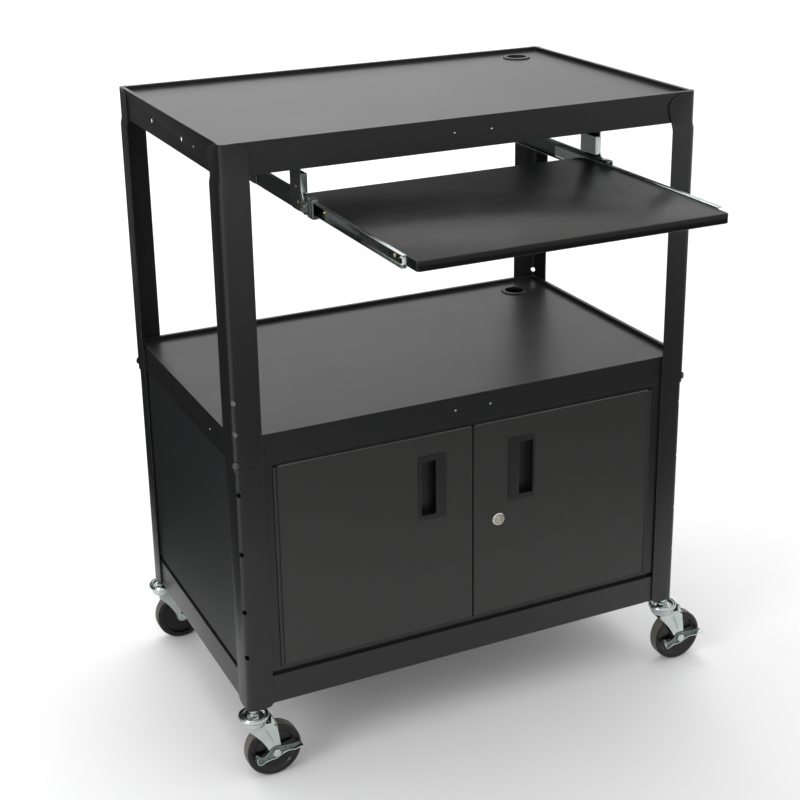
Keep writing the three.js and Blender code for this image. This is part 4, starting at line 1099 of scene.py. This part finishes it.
    def _crown(self) -> Skin:
        """The bowl with its rolled rim, and the sloping shoulder behind it with its two sides."""
        bowl = [
            (0, -3), (18, -3), (20, -1.4), (21.6, 2.6), (23, 6.8), (24, 9.6), (25.2, 10.8),
            (25.6, 12.2), (25.4, 13.6), (24.6, 14.3), (24.9, 15.2), (24.2, 16), (23.4, 15.8),
            (22.8, 14.6), (22.6, 10),
            (21.4, 4.4), (18.6, 0.2), (0, 0.2),
        ]
        skin = revolved(rounded(in_mm(bowl), self.turned_round, 3), 72)
        path = rounded(in_mm([(24.6, 12.9), (27.2, 12.4), (33, -1), (33, -9)]), 2.2 * MM, 4)
        slope = plate(sheet_outline(np.array(path), self.ear_sheet), 2 * self.outer, 0.3 * MM)
        ear = np.array([(24.4, -1.0), (24.4, 12.6), (27.0, 12.3), (32.6, -0.6), (32.6, -8.0)]) * MM
        for back in (self.outer, self.ear_sheet - self.outer):
            skin += plate(ear, self.ear_sheet, 0.3 * MM).turned(Axis.Y).at(0, back, 0)
        return (skin + slope.turned(Axis.Y).at(0, self.outer, 0)).at(0, 0, self.crown)

    def _fork(self, corner: Corner) -> None:
        """A whole fork: its sheet, its crown and the axle bolt with its head and nut."""
        front = self.outer + (2.6 * MM if corner.is_front else 0.0)
        end = -self.outer - 5.2 * MM
        pin = [(0.0, end), (3.6 * MM, end), (4 * MM, end + 0.4 * MM), (4 * MM, front), (0.0, front)]
        head = plate(ring(7.5 * MM, 6), 4 * MM, 0.6 * MM)
        axle = revolved(pin, 32) + head.at(0, 0, front) + head.at(0, 0, -self.outer - 4 * MM)
        placed = axle.turned(Axis.Y).at(self.trail, 0.0, self.axle)
        skin = (self._shell() + self._crown() + placed).at(*self._stand(corner))
        name = f"caster_fork_{corner.word}"
        self.builder.add(name + "_pressed", skin, f"swivel_{corner.word}", Coat.ZINC, (name,), 32.0)

    def _brake(self, corner: Corner) -> None:
        """A rocker brake: a smooth pressed web, with a foot lip turned out along its lower edge. The
        web's darker zinc is painted shade, against the lip's plain zinc.

        The lip stands 4.6 mm out at the axle, and along both arms 7.2 (1.7 |s| - 0.5)^1.5 mm more,
        s running from -1 to 1 and the bracket held between 0 and 1.
        """
        toe = [(-0.86, 0.06), (-0.83, -0.18), (-0.69, -0.32), (-0.52, -0.32), (-0.36, -0.26)]
        belly = [(-0.2, -0.24), (0, -0.24)]
        pad = [(0.2, -0.11), (0.4, 0.02), (0.62, 0.04), (1, 0.1)]
        top = [(1, 0.17), (0.7, 0.16), (0.22, 0.2), (0, 0.22), (-0.2, 0.14), (-0.4, -0.06)]
        heel = [(-0.62, -0.1), (-0.74, 0.08)]
        outline = smoothed(np.array(toe + belly + pad + top + heel) * self.reach)
        web = plate(outline, 2 * MM, 0.4 * MM, ring(4.4 * MM, 32))
        under = smoothed(np.array(toe + belly + pad) * self.reach, 3, closed=False)
        along = np.abs(np.linspace(-1.0, 1.0, len(under)))
        depths = (4.6 + 7.2 * np.clip(along * 1.7 - 0.5, 0.0, 1.0) ** 1.5) * MM
        lip = lip_along(under, -1.4 * MM, depths)
        name = f"brake_lever_{corner.word}"
        # The web takes the darker zinc and the lip the plain zinc: painted shade on the web.
        for part, skin, coat in (("web", web, Coat.DULL_ZINC), ("lip", lip, Coat.ZINC)):
            hung = skin.turned(Axis.Y).at(self.trail, -self.outer - 0.3 * MM, self.axle)
            placed = hung.at(*self._stand(corner))
            self.builder.add(f"{name}_{part}", placed, f"brake_{corner.word}", coat, (name,), 40.0)

    def _wheel(self, corner: Corner) -> None:
        """A moulded wheel turned about its axle, with its tread a piece of its own.

        The disc's profile goes from the bore over the hub's collar, down to the web and up over
        the rim's bead; the tread's goes over the crown between the two rounded shoulders.
        """
        name = f"wheel_{corner.word}"
        low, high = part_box(name)
        x, y, z = ((low[i] + high[i]) / 2 for i in range(3))
        half, radius = self.wheel_width / 2, z
        side, rim, edge = half + 0.8 * MM, 42.4 * MM, half - 3.5 * MM
        face = [
            (4.45 * MM, side), (11 * MM, side), (14 * MM, side - 1.2 * MM), (15 * MM, half - 4.2 * MM),
            (34 * MM, half - 4.5 * MM), (36.5 * MM, half - 1 * MM), (38 * MM, half), (rim, half),
        ]
        wall = [
            (rim, half), (radius - 3.4 * MM, half), (radius - 1 * MM, half - 1.6 * MM),
            (radius - 0.25 * MM, half - 3.4 * MM), (radius - 0.8 * MM, half - 3.6 * MM),
        ]
        whole = rounded(face, 1.2 * MM, 3) + rounded(wall, 1.2 * MM, 4)
        disc = whole + [(r, -h) for r, h in reversed(whole)] + [whole[0]]
        crown = [
            (radius - 0.9 * MM, edge), (radius - 0.1 * MM, edge - 0.1 * MM),
            (radius, edge - 1.4 * MM), (radius, 0.0),
        ]
        band = rounded(crown, 0.6 * MM, 3)
        tread = band + [(r, -h) for r, h in reversed(band[:-1])] + [band[0]]
        pieces = (("disc", disc, 96, Coat.RUBBER), ("tread", tread, 128, Coat.TREAD))
        for part, profile, steps, coat in pieces:
            skin = revolved(profile, steps).turned(Axis.Y).at(x, y, z)
            self.builder.add(f"{name}_{part}", skin, name + "_body", coat, (name,), 40.0)


@dataclass
class Studio:
    """The pale floor, the soft light and the camera."""

    datum: Datum
    azimuth: float = -25.247
    elevation: float = 19.274
    roll: float = -0.873
    camera_at: tuple[float, float, float] = (-1099.46 * MM, -2313.56 * MM, 1548.83 * MM)
    focal_pixels: float = 1557.4
    principal: tuple[float, float] = (400.0, 320.0)
    image: float = 800.0
    sensor: float = 36.0
    card_lift: float = 0.004
    card_back: float = 2.58
    card_left: float = -1.9
    card_gap: float = 0.06
    view_edge: float = 10.7

    def build(self) -> None:
        """Sets up the whole studio."""
        self._camera()
        self._floor()
        self._cards()
        self._lights()

    def _camera(self) -> None:
        """A camera where the photograph's stood.

        It looks along (-sin a cos e, cos a cos e, -sin e) turned by the roll, and its lens is the
        focal length in pixels over the image's width times the sensor's.
        """
        azimuth, elevation, roll = (math.radians(v) for v in (self.azimuth, self.elevation, self.roll))
        flat = math.cos(elevation)
        forward = Vector((-math.sin(azimuth) * flat, math.cos(azimuth) * flat, -math.sin(elevation)))
        right = forward.cross(Vector((0, 0, 1))).normalized()
        up = right.cross(forward)
        across = right * math.cos(roll) + up * math.sin(roll)
        over = up * math.cos(roll) - right * math.sin(roll)
        data = bpy.data.cameras.new("photo_camera")
        data.sensor_width = self.sensor
        data.lens = self.focal_pixels / self.image * self.sensor
        data.shift_x = (self.image / 2 - self.principal[0]) / self.image
        data.shift_y = (self.principal[1] - self.image / 2) / self.image
        data.clip_end = 50.0
        camera = linked("photo_camera", data)
        matrix = Matrix((across, over, -forward)).transposed().to_4x4()
        matrix.translation = Vector(self.datum.at(*self.camera_at))
        camera.matrix_world = matrix
        bpy.context.scene.camera = camera

    def _floor(self) -> None:
        """A pale floor that rises behind in a wide sweep.

        Height over depth is 0 up to the bend, then a quarter circle, then a straight wall.
        """
        bend, near, far, wide, tall = 2.2, -7.0, 2.6, 9.0, 6.0
        turn = np.linspace(0, math.pi / 2, 24)
        depth = np.concatenate([[near], far + bend * np.sin(turn), [far + bend]])
        height = np.concatenate([[0.0], bend - bend * np.cos(turn), [tall]])
        across = np.linspace(-wide, wide, 9)
        grid = np.stack(np.broadcast_arrays(across[None, :], depth[:, None], height[:, None]), axis=-1)
        floor = self._sheet("studio_floor", grid, self._paper("studio_paper", 0.86, 0.9))
        floor.data.polygons.foreach_set("use_smooth", np.ones(len(floor.data.polygons), bool))

    def _cards(self) -> None:
        """Four grey cards that only reflections see, and that darken what the cart's faces mirror.

        The left one lies along the view's left edge, x = cx + (y - cy) tan(10.7 deg), a gap
        inside it, and stands up further out; the back one closes it, and a low one goes on from
        it to the right. The front one lies before the cart, drawn in towards the right.
        """
        lift, back, left = self.card_lift, self.card_back, self.card_left
        y = np.linspace(0.15, back, 9)
        slant = math.tan(math.radians(self.view_edge))
        edge = self.camera_at[0] + (y - self.camera_at[1]) * slant + self.card_gap
        across = np.linspace(-2.8, 3.8, 9)
        near = np.interp(across, [-0.6, 0.2, 0.9], [-1.25, -1.05, -0.5])
        behind, beside = np.linspace(left, edge[-1], 9), np.linspace(edge[-1], 4.6, 9)
        rows = {
            "card_left": (0.02, [(edge, y, lift), (left, y, lift), (left, y, lift + 2.8)]),
            "card_back": (0.12, [(behind, back, lift), (behind, back, 3.2)]),
            "card_low": (0.05, [(beside, back, lift), (beside, back, 1.2)]),
            "card_front": (0.08, [(across, near - 3.6, lift), (across, near, lift)]),
        }
        for name, (tone, lines) in rows.items():
            grid = np.stack([np.stack(np.broadcast_arrays(*line), axis=-1) for line in lines], axis=1)
            placed = grid + np.array([self.datum.x, self.datum.y, 0.0])
            card = self._sheet(name, placed, self._paper(name, tone * 0.9, tone * 1.1))
            card.visible_camera = card.visible_diffuse = card.visible_shadow = False

    @staticmethod
    def _sheet(name: str, grid: np.ndarray, material: bpy.types.Material) -> bpy.types.Object:
        """An open sheet through a grid of points, in the frame."""
        mesh = bpy.data.meshes.new(name)
        rows, columns, _ = grid.shape
        mesh.from_pydata(grid.reshape(-1, 3).tolist(), [], grid_faces(rows, columns, False))
        mesh.materials.append(material)
        return linked(name, mesh)

    @staticmethod
    def _paper(name: str, dark: float, light: float) -> bpy.types.Material:
        """Matt paper whose tone drifts a little between two greys."""
        material = bpy.data.materials.new(name)
        material.use_nodes = True
        shader = material.node_tree.nodes["Principled BSDF"]
        kit = NodeKit(material.node_tree)
        kit.feed(shader, "Base Color", kit.mix(kit.noise(kit.place(), 3.0), grey(dark), grey(light)))
        shader.inputs["Roughness"].default_value = 0.9
        shader.inputs["Specular IOR Level"].default_value = 0.0
        return material

    def _lights(self) -> None:
        """A broad light above, one from the left, one on the wall, and a pale surround."""
        self._area("light_above", (0.0, 0.2, 3.6), (0.0, 0.0, 0.5), 3.0, 32.0)
        self._area("light_left", (-3.2, -1.3, 2.2), (0.0, 0.0, 0.6), 1.3, 31.0)
        self._area("light_wall", (0.9, 2.6, 4.6), (1.1, 4.8, 2.0), 3.4, 95.0)
        world = bpy.data.worlds.new("studio_surround")
        bpy.context.scene.world = world
        world.use_nodes = True
        world.node_tree.nodes["Background"].inputs["Color"].default_value = (1.0, 1.0, 1.0, 1.0)
        world.node_tree.nodes["Background"].inputs["Strength"].default_value = 0.9
        bpy.context.scene.view_settings.view_transform = "Standard"

    def _area(self, name: str, place: tuple, target: tuple, size: float, power: float) -> None:
        """A square area light that faces a point.

        Args:
            name: The light's name.
            place: Where it hangs, from the cart's middle.
            target: What it faces, from the cart's middle.
            size: The length of its side.
            power: Its power in watts.
        """
        data = bpy.data.lights.new(name, "AREA")
        data.size = size
        data.energy = power
        light = linked(name, data)
        light.location = self.datum.at(*place)
        towards = Vector(self.datum.at(*target)) - light.location
        light.rotation_euler = towards.to_track_quat("-Z", "Y").to_euler()


def main() -> None:
    """Builds the cart's looks in order."""
    logging.basicConfig(level=logging.INFO, format="%(name)s: %(message)s")
    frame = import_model()
    builder = Builder(frame)
    datum = Datum.read()
    for kind in (Carcass, KeyboardSlide, Casters):
        kind(builder, datum).dress()
        LOG.info("dressed %s", kind.__name__)
    Studio(datum).build()
    LOG.info("%d pieces made", len(builder.made))


if __name__ == "__main__":
    main()
